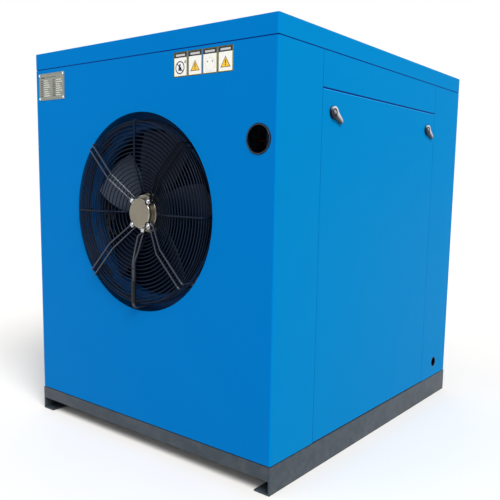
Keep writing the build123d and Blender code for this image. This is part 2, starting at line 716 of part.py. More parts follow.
# ---------------------------------------------------------------- wire guard
with BuildPart() as fan_guard:
    ring_count = int((RING_END - RING_START) / RING_PITCH) + 1
    rings = [RING_START + RING_PITCH * index for index in range(ring_count)]
    coils = [(radius, spoke_depth(radius) + RING_BEHIND_SPOKE) for radius in rings]
    coils += [(RIM_RING_R, depth) for depth in RIM_RING_DEPTHS]
    with BuildSketch(Plane.XY.offset(FAN_Z)):
        with Locations(*[(FAN_X + radius, FRONT_Y + depth) for radius, depth in coils]):
            RegularPolygon(WIRE_R, WIRE_SIDES)
        with Locations((FAN_X + BASE_RING_R, FRONT_Y + BASE_RING_DEPTH)):
            RegularPolygon(BASE_RING_WIRE, WIRE_SIDES)
    revolve(axis=Axis((FAN_X, 0, FAN_Z), (0, 1, 0)))
    for angle in SPOKE_ANGLES:
        wire(
            [
                fan_point(SPOKE_INNER_R, angle, spoke_depth(SPOKE_INNER_R)),
                fan_point(CONE_R, angle, FACE_DEPTH),
                fan_point(SPOKE_OUTER_R, angle, FACE_DEPTH),
                fan_point(SPOKE_OUTER_R, angle, RIM_END),
            ],
            BEND_R,
            SPOKE_R,
        )
fan_guard.part.label = "fan_guard"
export_step(fan_guard.part, "parts/fan_guard.step")

with BuildPart() as guard_legs:
    for angle in LEG_ANGLES:
        wire(
            [
                fan_point(LEG_OUTER_R, angle, LEG_END, LEG_HALF),
                fan_point(LEG_OUTER_R, angle, LEG_DEPTH, LEG_HALF),
                fan_point(CONE_R, angle, LEG_DEPTH, LEG_HALF),
                fan_point(LOOP_IN_R, angle, LOOP_DEPTH, LOOP_HALF),
                fan_point(LOOP_R, angle, LOOP_DEPTH, LOOP_HALF),
                fan_point(LOOP_R, angle, LOOP_DEPTH, -LOOP_HALF),
                fan_point(LOOP_IN_R, angle, LOOP_DEPTH, -LOOP_HALF),
                fan_point(CONE_R, angle, LEG_DEPTH, -LEG_HALF),
                fan_point(LEG_OUTER_R, angle, LEG_DEPTH, -LEG_HALF),
                fan_point(LEG_OUTER_R, angle, LEG_END, -LEG_HALF),
            ],
            [BEND_R] * 3 + [LOOP_BEND_R] * 2 + [BEND_R] * 3,
            LEG_R,
        )
        spot = fan_point(LEG_OUTER_R, angle, LEG_END + FOOT_SIZE[2] / 2)
        with Locations(Location(spot, (0, -angle, 0))):
            Box(FOOT_SIZE[0], FOOT_SIZE[2], FOOT_SIZE[1])
guard_legs.part.label = "guard_legs"
export_step(guard_legs.part, "parts/guard_legs.step")

with BuildPart() as acorn_nuts:
    for angle in LEG_ANGLES:
        x, y, z = fan_point(NUT_PCR, angle, 0)
        rod("y", (x, z), NUT_R, depth_span(NUT_DEPTH))
        rod("y", (x, z), STUD_R, depth_span((NUT_DEPTH[1], FLANGE_DEPTH[1] + STUD_PROUD)))
        with Locations((x, FRONT_Y + NUT_DEPTH[0], z)):
            Sphere(NUT_DOME_R)
acorn_nuts.part.label = "acorn_nuts"
export_step(acorn_nuts.part, "parts/acorn_nuts.step")

# ---------------------------------------------------------------- fan motor
with BuildPart() as motor_stator:
    fan_rod(CAP_R, CAP_DEPTH)
    rim = motor_stator.edges().filter_by(GeomType.CIRCLE).group_by(Axis.Y)[0]
    fillet(rim, CAP_ROUND)
    fan_rod(HOUSING_R, HOUSING_DEPTH)
    lug_spots = [fan_point(NUT_PCR, angle, 0) for angle in LEG_ANGLES]
    for x, y, z in lug_spots:
        notch = depth_span((CAP_DEPTH[0] - 1, LUG_DEPTH[0]))
        rod("y", (x, z), NOTCH_R, notch, Mode.SUBTRACT)
    fan_rod(FLANGE_R, FLANGE_DEPTH)
    for x, y, z in lug_spots:
        rod("y", (x, z), LUG_R, depth_span(LUG_DEPTH))
        hole = depth_span((LUG_DEPTH[0] - 1, LUG_DEPTH[1] + 1))
        rod("y", (x, z), STUD_R + STUD_CLEARANCE, hole, Mode.SUBTRACT)
    fan_rod(STEM_R, (FLANGE_DEPTH[1], STATOR_DEPTH[0]))
    fan_rod(STATOR_R, STATOR_DEPTH)
    fan_rod(BEARING_R, (STATOR_DEPTH[0] - BEARING_POCKET, STATOR_DEPTH[1] + 1), Mode.SUBTRACT)
motor_stator.part.label = "motor_stator"
export_step(motor_stator.part, "parts/motor_stator.step")

with BuildPart() as motor_bearings:
    for span in BEARING_DEPTHS:
        fan_rod(BEARING_R, span)
        fan_rod(SHAFT_R + RUNNING_FIT, span, Mode.SUBTRACT)
motor_bearings.part.label = "motor_bearings"
export_step(motor_bearings.part, "parts/motor_bearings.step")

with BuildPart() as rotor_can:
    fan_rod(ROTOR_R, ROTOR_DEPTH)
    back = rotor_can.edges().filter_by(GeomType.CIRCLE).group_by(Axis.Y)[-1]
    fillet(back, ROTOR_ROUND)
    inner = ROTOR_R - ROTOR_WALL
    fan_rod(inner, (ROTOR_DEPTH[0] - 1, ROTOR_DEPTH[1] - ROTOR_WALL), Mode.SUBTRACT)
    fan_rod(SHAFT_R, (STATOR_DEPTH[0] - SHAFT_PROUD, ROTOR_DEPTH[1]))
rotor_can.part.label = "rotor_can"
export_step(rotor_can.part, "parts/rotor_can.step")

with BuildPart() as blade:
    for radius, shift, chord, pitch in BLADE_SECTIONS:
        centre = (FAN_X + shift, FRONT_Y + BLADE_DEPTH, FAN_Z + radius)
        with BuildSketch(Plane(origin=centre, x_dir=(1, 0, 0), z_dir=(0, 0, 1))):
            Rectangle(chord, BLADE_THICK, rotation=pitch)
    loft()
    fan_rod(BLADE_TIP_R, (0, 2 * BLADE_DEPTH), Mode.INTERSECT)

with BuildPart() as fan_impeller:
    ring_span = (ROTOR_DEPTH[0] + BLADE_RING_INSET, ROTOR_DEPTH[1] - BLADE_RING_INSET)
    fan_rod(ROTOR_R + BLADE_RING, ring_span)
    spin = Axis((FAN_X, 0, FAN_Z), (0, 1, 0))
    for index in range(BLADES):
        add(blade.part.rotate(spin, index * 360 / BLADES))
    fan_rod(ROTOR_R, (0, 2 * BLADE_DEPTH), Mode.SUBTRACT)
fan_impeller.part.label = "fan_impeller"
export_step(fan_impeller.part, "parts/fan_impeller.step")

with BuildPart() as motor_gland:
    half, depths, reach = GLAND_BLOCK
    block_z = (FAN_Z - reach[0], FAN_Z - reach[1])
    slab((FAN_X - half, FAN_X + half), depth_span(depths), block_z)
    fillet(motor_gland.edges().filter_by(Axis.Z), GLAND_ROUND)
motor_gland.part.label = "motor_gland"
export_step(motor_gland.part, "parts/motor_gland.step")

with BuildPart() as motor_cable:
    down = 270
    middle = sum(GLAND_BLOCK[1]) / 2
    for side, bows in zip((-CABLE_LANE, CABLE_LANE), CABLE_BOWS):
        route = [fan_point(GLAND_BLOCK[2][0] + CABLE_START, down, middle, side)]
        for (radius, depth), bow in zip(CABLE_RUNS, bows):
            route.append(fan_point(radius, down, depth, bow))
        route.append(fan_point(CONE_R, down, CABLE_FACE_DEPTH, side))
        route.append(fan_point(CABLE_RIM_R, down, CABLE_FACE_DEPTH, side))
        route.append(fan_point(CABLE_RIM_R, down, BULKHEAD_DEPTH[0], side))
        wire(route, list(CABLE_BENDS), CABLE_R)
motor_cable.part.label = "motor_cable"
export_step(motor_cable.part, "parts/motor_cable.step")

with BuildPart() as cable_sleeve:
    x, y, z = fan_point(0, down, CABLE_FACE_DEPTH)
    span = (FAN_Z - SLEEVE_R[0], FAN_Z - SLEEVE_R[1])
    with BuildSketch(Plane.XY.offset(span[0])):
        with Locations((x, y)):
            SlotOverall(SLEEVE_WIDE, SLEEVE_DEEP)
            with Locations((-CABLE_LANE, 0), (CABLE_LANE, 0)):
                Circle(SLEEVE_BORE_R, mode=Mode.SUBTRACT)
    extrude(amount=span[1] - span[0])
cable_sleeve.part.label = "cable_sleeve"
export_step(cable_sleeve.part, "parts/cable_sleeve.step")

# ---------------------------------------------------------------- condenser
with BuildPart() as fan_shroud:
    outer = SHROUD_HALF
    span = depth_span((BULKHEAD_DEPTH[1], SHROUD_END))
    slab((FAN_X - outer, FAN_X + outer), span, (FAN_Z - outer, FAN_Z + outer))
    inner = SHROUD_HALF - SHEET
    longer = (span[0] - 1, span[1] + 1)
    slab((FAN_X - inner, FAN_X + inner), longer, (FAN_Z - inner, FAN_Z + inner), Mode.SUBTRACT)
fan_shroud.part.label = "fan_shroud"
export_step(fan_shroud.part, "parts/fan_shroud.step")

with BuildPart() as condenser_coil:
    coil_y = depth_span(COIL_DEPTH)
    coil_z = (FAN_Z - COIL_HALF, FAN_Z + COIL_HALF)
    slab((FAN_X - COIL_HALF, FAN_X + COIL_HALF), coil_y, coil_z)
condenser_coil.part.label = "condenser_coil"
export_step(condenser_coil.part, "parts/condenser_coil.step")

with BuildPart() as condenser_frame:
    stand_top = coil_z[0] - PLATE_LAP[1]
    plate_y = (coil_y[0] - PLATE_LAP[0], coil_y[1] + PLATE_LAP[0])
    for side in (-1, 1):
        near = FAN_X + side * COIL_HALF
        xs = sorted((near, near + side * END_PLATE))
        slab(xs, plate_y, (stand_top, coil_z[1] + PLATE_LAP[1]))
    for side in (-1, 1):
        near = FAN_X + side * (COIL_HALF - STAND_FOOT)
        xs = sorted((near, near + side * STAND_FOOT))
        slab(xs, coil_y, (BODY_Z0, stand_top))
        cut = sorted((near + side * STAND_WALL, near + side * (STAND_FOOT + 1)))
        cut_z = (BODY_Z0 + STAND_WALL, stand_top - STAND_WALL)
        slab(cut, (coil_y[0] - 1, coil_y[1] + 1), cut_z, Mode.SUBTRACT)
condenser_frame.part.label = "condenser_frame"
export_step(condenser_frame.part, "parts/condenser_frame.step")

with BuildPart() as condenser_return_bends:
    bend_y = (coil_y[0] + coil_y[1]) / 2
    near = FAN_X + COIL_HALF + END_PLATE
    for row in range(TUBE_ROWS):
        z = coil_z[0] + TUBE_PITCH * (row + 1)
        wire(
            [
                (near, bend_y - BEND_HALF, z),
                (near + BEND_REACH, bend_y - BEND_HALF, z),
                (near + BEND_REACH, bend_y + BEND_HALF, z),
                (near, bend_y + BEND_HALF, z),
            ],
            RETURN_BEND_R,
            TUBE_R,
        )
condenser_return_bends.part.label = "condenser_return_bends"
export_step(condenser_return_bends.part, "parts/condenser_return_bends.step")

# ---------------------------------------------------------------- refrigerant circuit
with BuildPart() as compressor_mounts:
    for side in (-1, 1):
        for front in (-1, 1):
            at = (COMP_X + side * MOUNT_OFFSET, COMP_Y + front * MOUNT_OFFSET)
            rod("z", at, MOUNT_R, MOUNT_Z)
compressor_mounts.part.label = "compressor_mounts"
export_step(compressor_mounts.part, "parts/compressor_mounts.step")

with BuildPart() as compressor_shell:
    half = COMP_PLATE / 2
    slab((COMP_X - half, COMP_X + half), (COMP_Y - half, COMP_Y + half), (MOUNT_Z[1], COMP_Z[0]))
    rod("z", (COMP_X, COMP_Y), COMP_R, COMP_Z)
    crown = compressor_shell.edges().filter_by(GeomType.CIRCLE).group_by(Axis.Z)[-1]
    fillet(crown, COMP_DOME)
compressor_shell.part.label = "compressor_shell"
export_step(compressor_shell.part, "parts/compressor_shell.step")

with BuildPart() as compressor_terminal_box:
    near = COMP_X + COMP_R - TERMINAL_LAP
    deep, half, box_z = TERMINAL_BOX
    box_y = (COMP_Y - half, COMP_Y + half)
    slab((near, near + deep), box_y, box_z)
    rod("z", (COMP_X, COMP_Y), COMP_R, (box_z[0] - 1, box_z[1] + 1), Mode.SUBTRACT)
compressor_terminal_box.part.label = "compressor_terminal_box"
export_step(compressor_terminal_box.part, "parts/compressor_terminal_box.step")

with BuildPart() as liquid_receiver:
    rod("z", RECEIVER_XY, RECEIVER_R, RECEIVER_Z)
    ends = liquid_receiver.edges().filter_by(GeomType.CIRCLE)
    fillet(ends, RECEIVER_ROUND)
    rod("z", RECEIVER_XY, RECEIVER_FOOT_R, (BODY_Z0, RECEIVER_Z[0] + SHEET))
liquid_receiver.part.label = "liquid_receiver"
export_step(liquid_receiver.part, "parts/liquid_receiver.step")

with BuildPart() as filter_drier:
    rod("y", DRIER_XZ, DRIER_R, DRIER_Y)
    ends = filter_drier.edges().filter_by(GeomType.CIRCLE)
    fillet(ends, DRIER_ROUND)
filter_drier.part.label = "filter_drier"
export_step(filter_drier.part, "parts/filter_drier.step")

with BuildPart() as copper_lines:
    behind_coil = coil_y[1] + COPPER_STAND_OFF
    discharge_y = COMP_Y - HOT_GAS_OFFSET
    wire(
        [
            (COMP_X, discharge_y, COMP_Z[1]),
            (COMP_X, discharge_y, HOT_GAS_Z[0]),
            (COMP_X, behind_coil, HOT_GAS_Z[0]),
            (COMP_X, behind_coil, HOT_GAS_Z[1]),
            (COMP_X, coil_y[1], HOT_GAS_Z[1]),
        ],
        COPPER_BENDS[0],
        COPPER_R,
    )
    wire(
        [
            (LIQUID_X, coil_y[1], LIQUID_Z),
            (LIQUID_X, behind_coil, LIQUID_Z),
            (RECEIVER_XY[0], behind_coil, LIQUID_Z),
            (RECEIVER_XY[0], RECEIVER_XY[1], LIQUID_Z),
            (RECEIVER_XY[0], RECEIVER_XY[1], RECEIVER_Z[1]),
        ],
        COPPER_BENDS[1],
        COPPER_R,
    )
    expansion_y = DRIER_Y[1] + COPPER_STAND_OFF
    wire(
        [
            (DRIER_XZ[0], DRIER_Y[1], DRIER_XZ[1]),
            (DRIER_XZ[0], expansion_y, DRIER_XZ[1]),
            (EXCH_XY[0] + EXCH_HALF, expansion_y, DRIER_XZ[1]),
        ],
        COPPER_BENDS[1],
        COPPER_R,
    )
copper_lines.part.label = "copper_lines"
export_step(copper_lines.part, "parts/copper_lines.step")

with BuildPart() as suction_line:
    suction_x = COMP_X + SUCTION_OFFSET[0]
    suction_y = COMP_Y + SUCTION_OFFSET[1]
    wire(
        [
            (EXCH_XY[0] + EXCH_HALF, suction_y, SUCTION_Z),
            (suction_x, suction_y, SUCTION_Z),
            (suction_x, suction_y, COMP_Z[1]),
        ],
        SUCTION_BEND_R,
        SUCTION_R,
    )
suction_line.part.label = "suction_line"
export_step(suction_line.part, "parts/suction_line.step")

# ---------------------------------------------------------------- air side
with BuildPart() as heat_exchanger:
    xs = (EXCH_XY[0] - EXCH_HALF, EXCH_XY[0] + EXCH_HALF)
    ys = (EXCH_XY[1] - EXCH_HALF, EXCH_XY[1] + EXCH_HALF)
    slab(xs, ys, EXCH_Z)
    fillet(heat_exchanger.edges().filter_by(Axis.Z), EXCH_FILLET)
    inset, half = EXCH_FOOT
    for x in (xs[0] + inset, xs[1] - inset):
        for y in (ys[0] + inset, ys[1] - inset):
            slab((x - half, x + half), (y - half, y + half), (BODY_Z0, EXCH_Z[0]))
heat_exchanger.part.label = "heat_exchanger"
export_step(heat_exchanger.part, "parts/heat_exchanger.step")


def air_pipe(z):
    """Straight pipe through the rear sheet with a drilled flange."""
    face = AIR_END_Y - AIR_FLANGE_T
    start = EXCH_XY[1] + EXCH_HALF
    rod("y", (AIR_X, z), AIR_PIPE_R, (start, AIR_END_Y))
    rod("y", (AIR_X, z), AIR_FLANGE_R, (face, AIR_END_Y))
    rod("y", (AIR_X, z), AIR_BORE_R, (start - 1, AIR_END_Y + 1), Mode.SUBTRACT)
    for index in range(AIR_BOLTS):
        turn = radians(AIR_BOLT_TURN + index * 360 / AIR_BOLTS)
        at = (AIR_X + AIR_PCR * cos(turn), z + AIR_PCR * sin(turn))
        rod("y", at, AIR_BOLT_R, (face - 1, AIR_END_Y + 1), Mode.SUBTRACT)


with BuildPart() as air_pipes:
    for height in AIR_Z:
        air_pipe(height)
air_pipes.part.label = "air_pipes"
export_step(air_pipes.part, "parts/air_pipes.step")

with BuildPart() as moisture_separator:
    rod("z", SEP_XY, SEP_R, SEP_Z)
    ends = moisture_separator.edges().filter_by(GeomType.CIRCLE)
    fillet(ends, SEP_ROUND)
    rod("z", SEP_XY, SEP_OUTLET[0], (SEP_OUTLET[1], SEP_Z[0] + SEP_OVERLAP))
    branch_z, branch_side, branch_bend, branch_r = BRANCH
    wire(
        [
            (EXCH_XY[0] + EXCH_HALF, EXCH_XY[1] + branch_side, branch_z),
            (SEP_XY[0], EXCH_XY[1] + branch_side, branch_z),
            (SEP_XY[0], SEP_XY[1] - SEP_R + SEP_OVERLAP, branch_z),
        ],
        branch_bend,
        branch_r,
    )
moisture_separator.part.label = "moisture_separator"
export_step(moisture_separator.part, "parts/moisture_separator.step")

with BuildPart() as condensate_drain:
    half, body_z = DRAIN_BODY
    run_z, run_x, run_end, run_bend = DRAIN_ROUTE
    body_x = (SEP_XY[0] - half, SEP_XY[0] + half)
    slab(body_x, (SEP_XY[1] - half, SEP_XY[1] + half), body_z)
    wire(
        [
            (SEP_XY[0] + half, SEP_XY[1], run_z),
            (SEP_XY[0] + run_x, SEP_XY[1], run_z),
            (SEP_XY[0] + run_x, DRAIN_Y, DRAIN_Z),
            (HALF_W - run_end, DRAIN_Y, DRAIN_Z),
        ],
        run_bend,
        DRAIN_PIPE_R,
    )
condensate_drain.part.label = "condensate_drain"
export_step(condensate_drain.part, "parts/condensate_drain.step")

# ---------------------------------------------------------------- electrical side
with BuildPart() as electrical_box:
    near = IN_D - BOX_DEPTH
    slab(PANEL_X, (near, IN_D), PANEL_Z)
    inner_z = (PANEL_Z[0] + SHEET, PANEL_Z[1] - SHEET)
    slab((PANEL_X[0] - 1, PANEL_X[1] + 1), (near + SHEET, IN_D + 1), inner_z, Mode.SUBTRACT)
electrical_box.part.label = "electrical_box"
export_step(electrical_box.part, "parts/electrical_box.step")

PANEL_FACE_Y = HALF_D + PANEL_T

with BuildPart() as control_panel:
    slab(PANEL_X, (HALF_D, PANEL_FACE_Y), PANEL_Z)
    through = (HALF_D - 1, PANEL_FACE_Y + 1)
    for x in BUTTON_X:
        rod("y", (x, BUTTON_Z), BUTTON_R + BUTTON_GAP, through, Mode.SUBTRACT)
    rod("y", (SWITCH_X, SWITCH_Z), SWITCH_STEM[0] + BUTTON_GAP, through, Mode.SUBTRACT)
    for x in GAUGE_X:
        rod("y", (x, GAUGE_Z), GAUGE_R + GAUGE_CLEARANCE, through, Mode.SUBTRACT)
    slab(DISPLAY_X, through, DISPLAY_Z, Mode.SUBTRACT)
control_panel.part.label = "control_panel"
export_step(control_panel.part, "parts/control_panel.step")

with BuildPart() as controller_display:
    span_x = (DISPLAY_X[0] + DISPLAY_GAP, DISPLAY_X[1] - DISPLAY_GAP)
    span_z = (DISPLAY_Z[0] + DISPLAY_GAP, DISPLAY_Z[1] - DISPLAY_GAP)
    slab(span_x, (HALF_D - DISPLAY_BODY[0], PANEL_FACE_Y + DISPLAY_BODY[1]), span_z)
controller_display.part.label = "controller_display"
export_step(controller_display.part, "parts/controller_display.step")

GAUGE_FRONT_Y = PANEL_FACE_Y + GAUGE_PROUD
GAUGE_BACK_Y = GAUGE_FRONT_Y - GAUGE_DEEP
DIAL_Y = GAUGE_BACK_Y + GAUGE_CUP

with BuildPart() as pressure_gauges:
    for x in GAUGE_X:
        rod("y", (x, GAUGE_Z), GAUGE_R, (GAUGE_BACK_Y, GAUGE_FRONT_Y))
        cup = (DIAL_Y, GAUGE_FRONT_Y + 1)
        rod("y", (x, GAUGE_Z), GAUGE_R - GAUGE_CUP, cup, Mode.SUBTRACT)
pressure_gauges.part.label = "pressure_gauges"
export_step(pressure_gauges.part, "parts/pressure_gauges.step")


def gauge_needle(x):
    """Pointer and boss that turn over the dial."""
    boss_r, low, high = NEEDLE_BOSS
    rod("y", (x, GAUGE_Z), boss_r, (DIAL_Y + low, DIAL_Y + high))
    half = NEEDLE_W / 2
    blade_y = (DIAL_Y + NEEDLE_BLADE[0], DIAL_Y + NEEDLE_BLADE[1])
    slab((x - half, x + half), blade_y, (GAUGE_Z - NEEDLE_TAIL, GAUGE_Z + NEEDLE_LONG))


with BuildPart() as needle_low:
    gauge_needle(GAUGE_X[0])
needle_low.part.label = "needle_low"
export_step(needle_low.part, "parts/needle_low.step")

with BuildPart() as needle_high:
    gauge_needle(GAUGE_X[1])
needle_high.part.label = "needle_high"
export_step(needle_high.part, "parts/needle_high.step")


def push_button(x):
    """Round button and its stem through the panel."""
    front = PANEL_FACE_Y + BUTTON_PROUD
    rod("y", (x, BUTTON_Z), BUTTON_R, (HALF_D - BUTTON_STEM, front))
    rod("y", (x, BUTTON_Z), BUTTON_CAP[0], (front - BUTTON_CAP[1], front))


with BuildPart() as start_button:
    push_button(BUTTON_X[0])
start_button.part.label = "start_button"
export_step(start_button.part, "parts/start_button.step")

with BuildPart() as stop_button:
    push_button(BUTTON_X[1])
stop_button.part.label = "stop_button"
export_step(stop_button.part, "parts/stop_button.step")

with BuildPart() as main_switch:
    stem_r, stem_in, stem_out = SWITCH_STEM
    disc_r, disc_in, disc_out = SWITCH_DISC
    half, grip_z, grip_out = SWITCH_GRIP
    at = (SWITCH_X, SWITCH_Z)
    rod("y", at, stem_r, (HALF_D - stem_in, PANEL_FACE_Y + stem_out))
    rod("y", at, disc_r, (PANEL_FACE_Y + disc_in, PANEL_FACE_Y + disc_out))
    grip_y = (PANEL_FACE_Y + disc_out, PANEL_FACE_Y + grip_out)
    slab((SWITCH_X - half, SWITCH_X + half), grip_y, (SWITCH_Z - grip_z, SWITCH_Z + grip_z))
main_switch.part.label = "main_switch"
export_step(main_switch.part, "parts/main_switch.step")

with BuildPart() as cable_gland:
    at = (GLAND_X, GLAND_Z)
    rod("y", at, GLAND_SHANK[0], (IN_D - GLAND_SHANK[1], HALF_D + GLAND_SHANK[2]))
    rod("y", at, GLAND_R, (HALF_D, HALF_D + GLAND_LONG))
    rod("y", at, GLAND_NUT[0], (IN_D - GLAND_NUT[1], IN_D))
    bore = (IN_D - GLAND_SHANK[1] - 1, HALF_D + GLAND_LONG + 1)
    rod("y", at, GLAND_BORE_R, bore, Mode.SUBTRACT)
cable_gland.part.label = "cable_gland"
export_step(cable_gland.part, "parts/cable_gland.step")

with BuildPart() as panel_screws:
    for y in (DOOR_Y[0] + SCREW_INSET, DOOR_Y[1] - SCREW_INSET):
        for z in SCREW_Z:
            rod("x", (y, z), SCREW_R, (-HALF_W - SCREW_HEAD, -HALF_W))
panel_screws.part.label = "panel_screws"
export_step(panel_screws.part, "parts/panel_screws.step")
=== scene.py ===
"""Refrigerated air dryer in a plain studio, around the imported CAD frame."""
import json
import math

import bmesh
import bpy
from mathutils import Matrix, Vector


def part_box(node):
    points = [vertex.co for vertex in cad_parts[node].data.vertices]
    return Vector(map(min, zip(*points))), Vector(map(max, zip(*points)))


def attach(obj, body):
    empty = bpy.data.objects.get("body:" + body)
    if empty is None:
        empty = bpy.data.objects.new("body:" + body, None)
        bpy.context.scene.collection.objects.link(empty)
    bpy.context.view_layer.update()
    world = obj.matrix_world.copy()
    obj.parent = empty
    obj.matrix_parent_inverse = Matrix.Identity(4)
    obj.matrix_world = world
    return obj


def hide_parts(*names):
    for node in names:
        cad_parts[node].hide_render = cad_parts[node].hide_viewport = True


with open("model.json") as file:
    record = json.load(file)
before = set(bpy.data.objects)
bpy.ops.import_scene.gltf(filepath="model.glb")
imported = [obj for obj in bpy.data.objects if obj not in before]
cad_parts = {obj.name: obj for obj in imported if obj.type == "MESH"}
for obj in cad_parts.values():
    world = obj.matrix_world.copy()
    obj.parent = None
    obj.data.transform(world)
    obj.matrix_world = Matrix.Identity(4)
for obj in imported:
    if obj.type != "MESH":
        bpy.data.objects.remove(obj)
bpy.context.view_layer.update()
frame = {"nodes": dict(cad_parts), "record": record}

NODES = frame["nodes"]
SCENE = bpy.context.scene
SCENE.view_settings.view_transform = "Standard"


# ------------------------------------------------------------------ camera
CAM_PLACE = Vector((1.4815, -1.8596, 0.8385))
CAM_YAW, CAM_PITCH, CAM_ROLL = (math.radians(a) for a in (-37.02, -7.396, 1.223))
CAM_LENS = 45.312
CAM_SHIFT = (-0.05046, 0.02641)
CAM_SENSOR, CAM_NEAR = 36.0, 0.05


def add_camera():
    data = bpy.data.cameras.new("camera")
    data.sensor_width = CAM_SENSOR
    data.lens = CAM_LENS
    data.shift_x, data.shift_y = CAM_SHIFT
    data.clip_start = CAM_NEAR
    camera = bpy.data.objects.new("camera", data)
    SCENE.collection.objects.link(camera)
    ahead = Vector((
        math.cos(CAM_PITCH) * math.sin(CAM_YAW),
        math.cos(CAM_PITCH) * math.cos(CAM_YAW),
        math.sin(CAM_PITCH),
    ))
    level = Vector((math.cos(CAM_YAW), -math.sin(CAM_YAW), 0.0))
    above = level.cross(ahead)
    right = math.cos(CAM_ROLL) * level + math.sin(CAM_ROLL) * above
    up = -math.sin(CAM_ROLL) * level + math.cos(CAM_ROLL) * above
    turn = Matrix((right, up, -ahead)).transposed().to_4x4()
    camera.matrix_world = Matrix.Translation(CAM_PLACE) @ turn
    SCENE.camera = camera


# ------------------------------------------------------------------ colours and node helpers
def srgb(red, green, blue):
    """Linear colour from display values of 0 to 255."""
    out = []
    for value in (red, green, blue):
        value /= 255.0
        out.append(value / 12.92 if value <= 0.04045 else ((value + 0.055) / 1.055) ** 2.4)
    return (*out, 1.0)


class Graph:
    """Small helper to wire one material."""

    def __init__(self, name):
        self.material = bpy.data.materials.new(name)
        self.material.use_nodes = True
        self.tree = self.material.node_tree
        self.tree.nodes.clear()
        self.shader = self.add("ShaderNodeBsdfPrincipled")
        output = self.add("ShaderNodeOutputMaterial")
        self.link(self.shader.outputs["BSDF"], output.inputs["Surface"])
        self.place = self.add("ShaderNodeTexCoord").outputs["Object"]

    def add(self, kind, **values):
        made = self.tree.nodes.new(kind)
        for key, value in values.items():
            setattr(made, key, value)
        return made

    def link(self, source, target):
        self.tree.links.new(source, target)

    def stretch(self, scale):
        mapping = self.add("ShaderNodeMapping")
        mapping.inputs["Scale"].default_value = scale
        self.link(self.place, mapping.inputs["Vector"])
        return mapping.outputs["Vector"]

    def noise(self, scale, detail=3.0, rough=0.5, stretch=(1, 1, 1)):
        made = self.add("ShaderNodeTexNoise")
        made.inputs["Scale"].default_value = scale
        made.inputs["Detail"].default_value = detail
        made.inputs["Roughness"].default_value = rough
        self.link(self.stretch(stretch), made.inputs["Vector"])
        return made.outputs["Fac"]

    def ramp(self, source, stops, ease="LINEAR"):
        made = self.add("ShaderNodeValToRGB")
        made.color_ramp.interpolation = ease
        elements = made.color_ramp.elements
        while len(elements) < len(stops):
            elements.new(0.5)
        for element, (place, colour) in zip(elements, stops):
            element.position = place
            element.color = colour if len(colour) == 4 else (*colour, 1.0)
        self.link(source, made.inputs["Fac"])
        return made.outputs["Color"]

    def remap(self, source, low, high, start=0.3, end=0.7):
        made = self.add("ShaderNodeMapRange")
        made.inputs["From Min"].default_value = start
        made.inputs["From Max"].default_value = end
        made.inputs["To Min"].default_value = low
        made.inputs["To Max"].default_value = high
        self.link(source, made.inputs["Value"])
        return made.outputs["Result"]

    def mix(self, factor, first, second, kind="MIX"):
        made = self.add("ShaderNodeMix", data_type="RGBA", blend_type=kind)
        self.link(factor, made.inputs[0])
        for value, socket in ((first, made.inputs[6]), (second, made.inputs[7])):
            if isinstance(value, tuple):
                socket.default_value = value
            else:
                self.link(value, socket)
        return made.outputs[2]

    def constant(self, value):
        made = self.add("ShaderNodeValue")
        made.outputs[0].default_value = value
        return made.outputs[0]

    def face_light_tint(self, other, front, side):
        """Painted light: one tint for the faces towards -Y, one for those towards +X and one for the rest,
        for how the light and sheen fall on each side.
        """
        normal = self.axes(self.add("ShaderNodeTexCoord").outputs["Normal"])
        tint = self.mix(self.remap(normal["X"], 0.0, 1.0, 0.5, 0.9), other, side)
        return self.mix(self.remap(normal["Y"], 1.0, 0.0, -0.9, -0.5), tint, front)

    def offset(self, origin):
        """Vector from a fixed point to the place that is shaded."""
        made = self.add("ShaderNodeVectorMath", operation="SUBTRACT")
        made.inputs[1].default_value = origin
        self.link(self.place, made.inputs[0])
        return made.outputs[0]

    def along(self, vector, direction):
        """How far a vector reaches in a direction."""
        made = self.add("ShaderNodeVectorMath", operation="DOT_PRODUCT")
        made.inputs[1].default_value = direction
        self.link(vector, made.inputs[0])
        return made.outputs["Value"]

    def axes(self, vector):
        made = self.add("ShaderNodeSeparateXYZ")
        self.link(vector, made.inputs["Vector"])
        return made.outputs

    def product(self, first, second):
        made = self.add("ShaderNodeMath", operation="MULTIPLY")
        self.link(first, made.inputs[0])
        self.link(second, made.inputs[1])
        return made.outputs[0]

    def bump(self, height, strength, distance):
        made = self.add("ShaderNodeBump")
        made.inputs["Strength"].default_value = strength
        made.inputs["Distance"].default_value = distance
        self.link(height, made.inputs["Height"])
        self.link(made.outputs["Normal"], self.shader.inputs["Normal"])

    def set(self, **values):
        for key, value in values.items():
            self.shader.inputs[key.replace("_", " ")].default_value = value

    def feed(self, **sources):
        for key, source in sources.items():
            self.link(source, self.shader.inputs[key.replace("_", " ")])


def shade(colour, factor):
    return tuple(min(1.0, c * factor) for c in colour[:3]) + (1.0,)


# Places that looks and pieces share, from the CAD.
FAN_X, FAN_Z, FRONT_Y = 0.0065, 0.735, -0.590
FAN_CENTRE = (FAN_X, FRONT_Y, FAN_Z)
PLATE_DEPTHS = (0.0380, 0.0386)
SEAM_SHADE_HEIGHTS = (1.183, 1.187)
LATCHES = (("front", -0.331), ("rear", 0.301))
LATCH_Z, LATCH_FACE_X, LATCH_R = 1.033, 0.528, 0.017
LATCH_SHADE_FALL = (0.0, -0.5, -0.866)

# Scale, detail and roughness of the noises that several materials share.
CLOUD = (9.0, 5.0, 0.6)
PEEL_DETAIL, PEEL_STRENGTH, PEEL_DEPTH = (2.0, 0.5), 0.35, 0.00006
DRIFT = (1.7, 4.0, 0.55)
SPECK = (38.0, 6.0, 0.7)
WEAR = (22.0, 4.0, 0.6)
DUST_TONE = srgb(150, 146, 138)


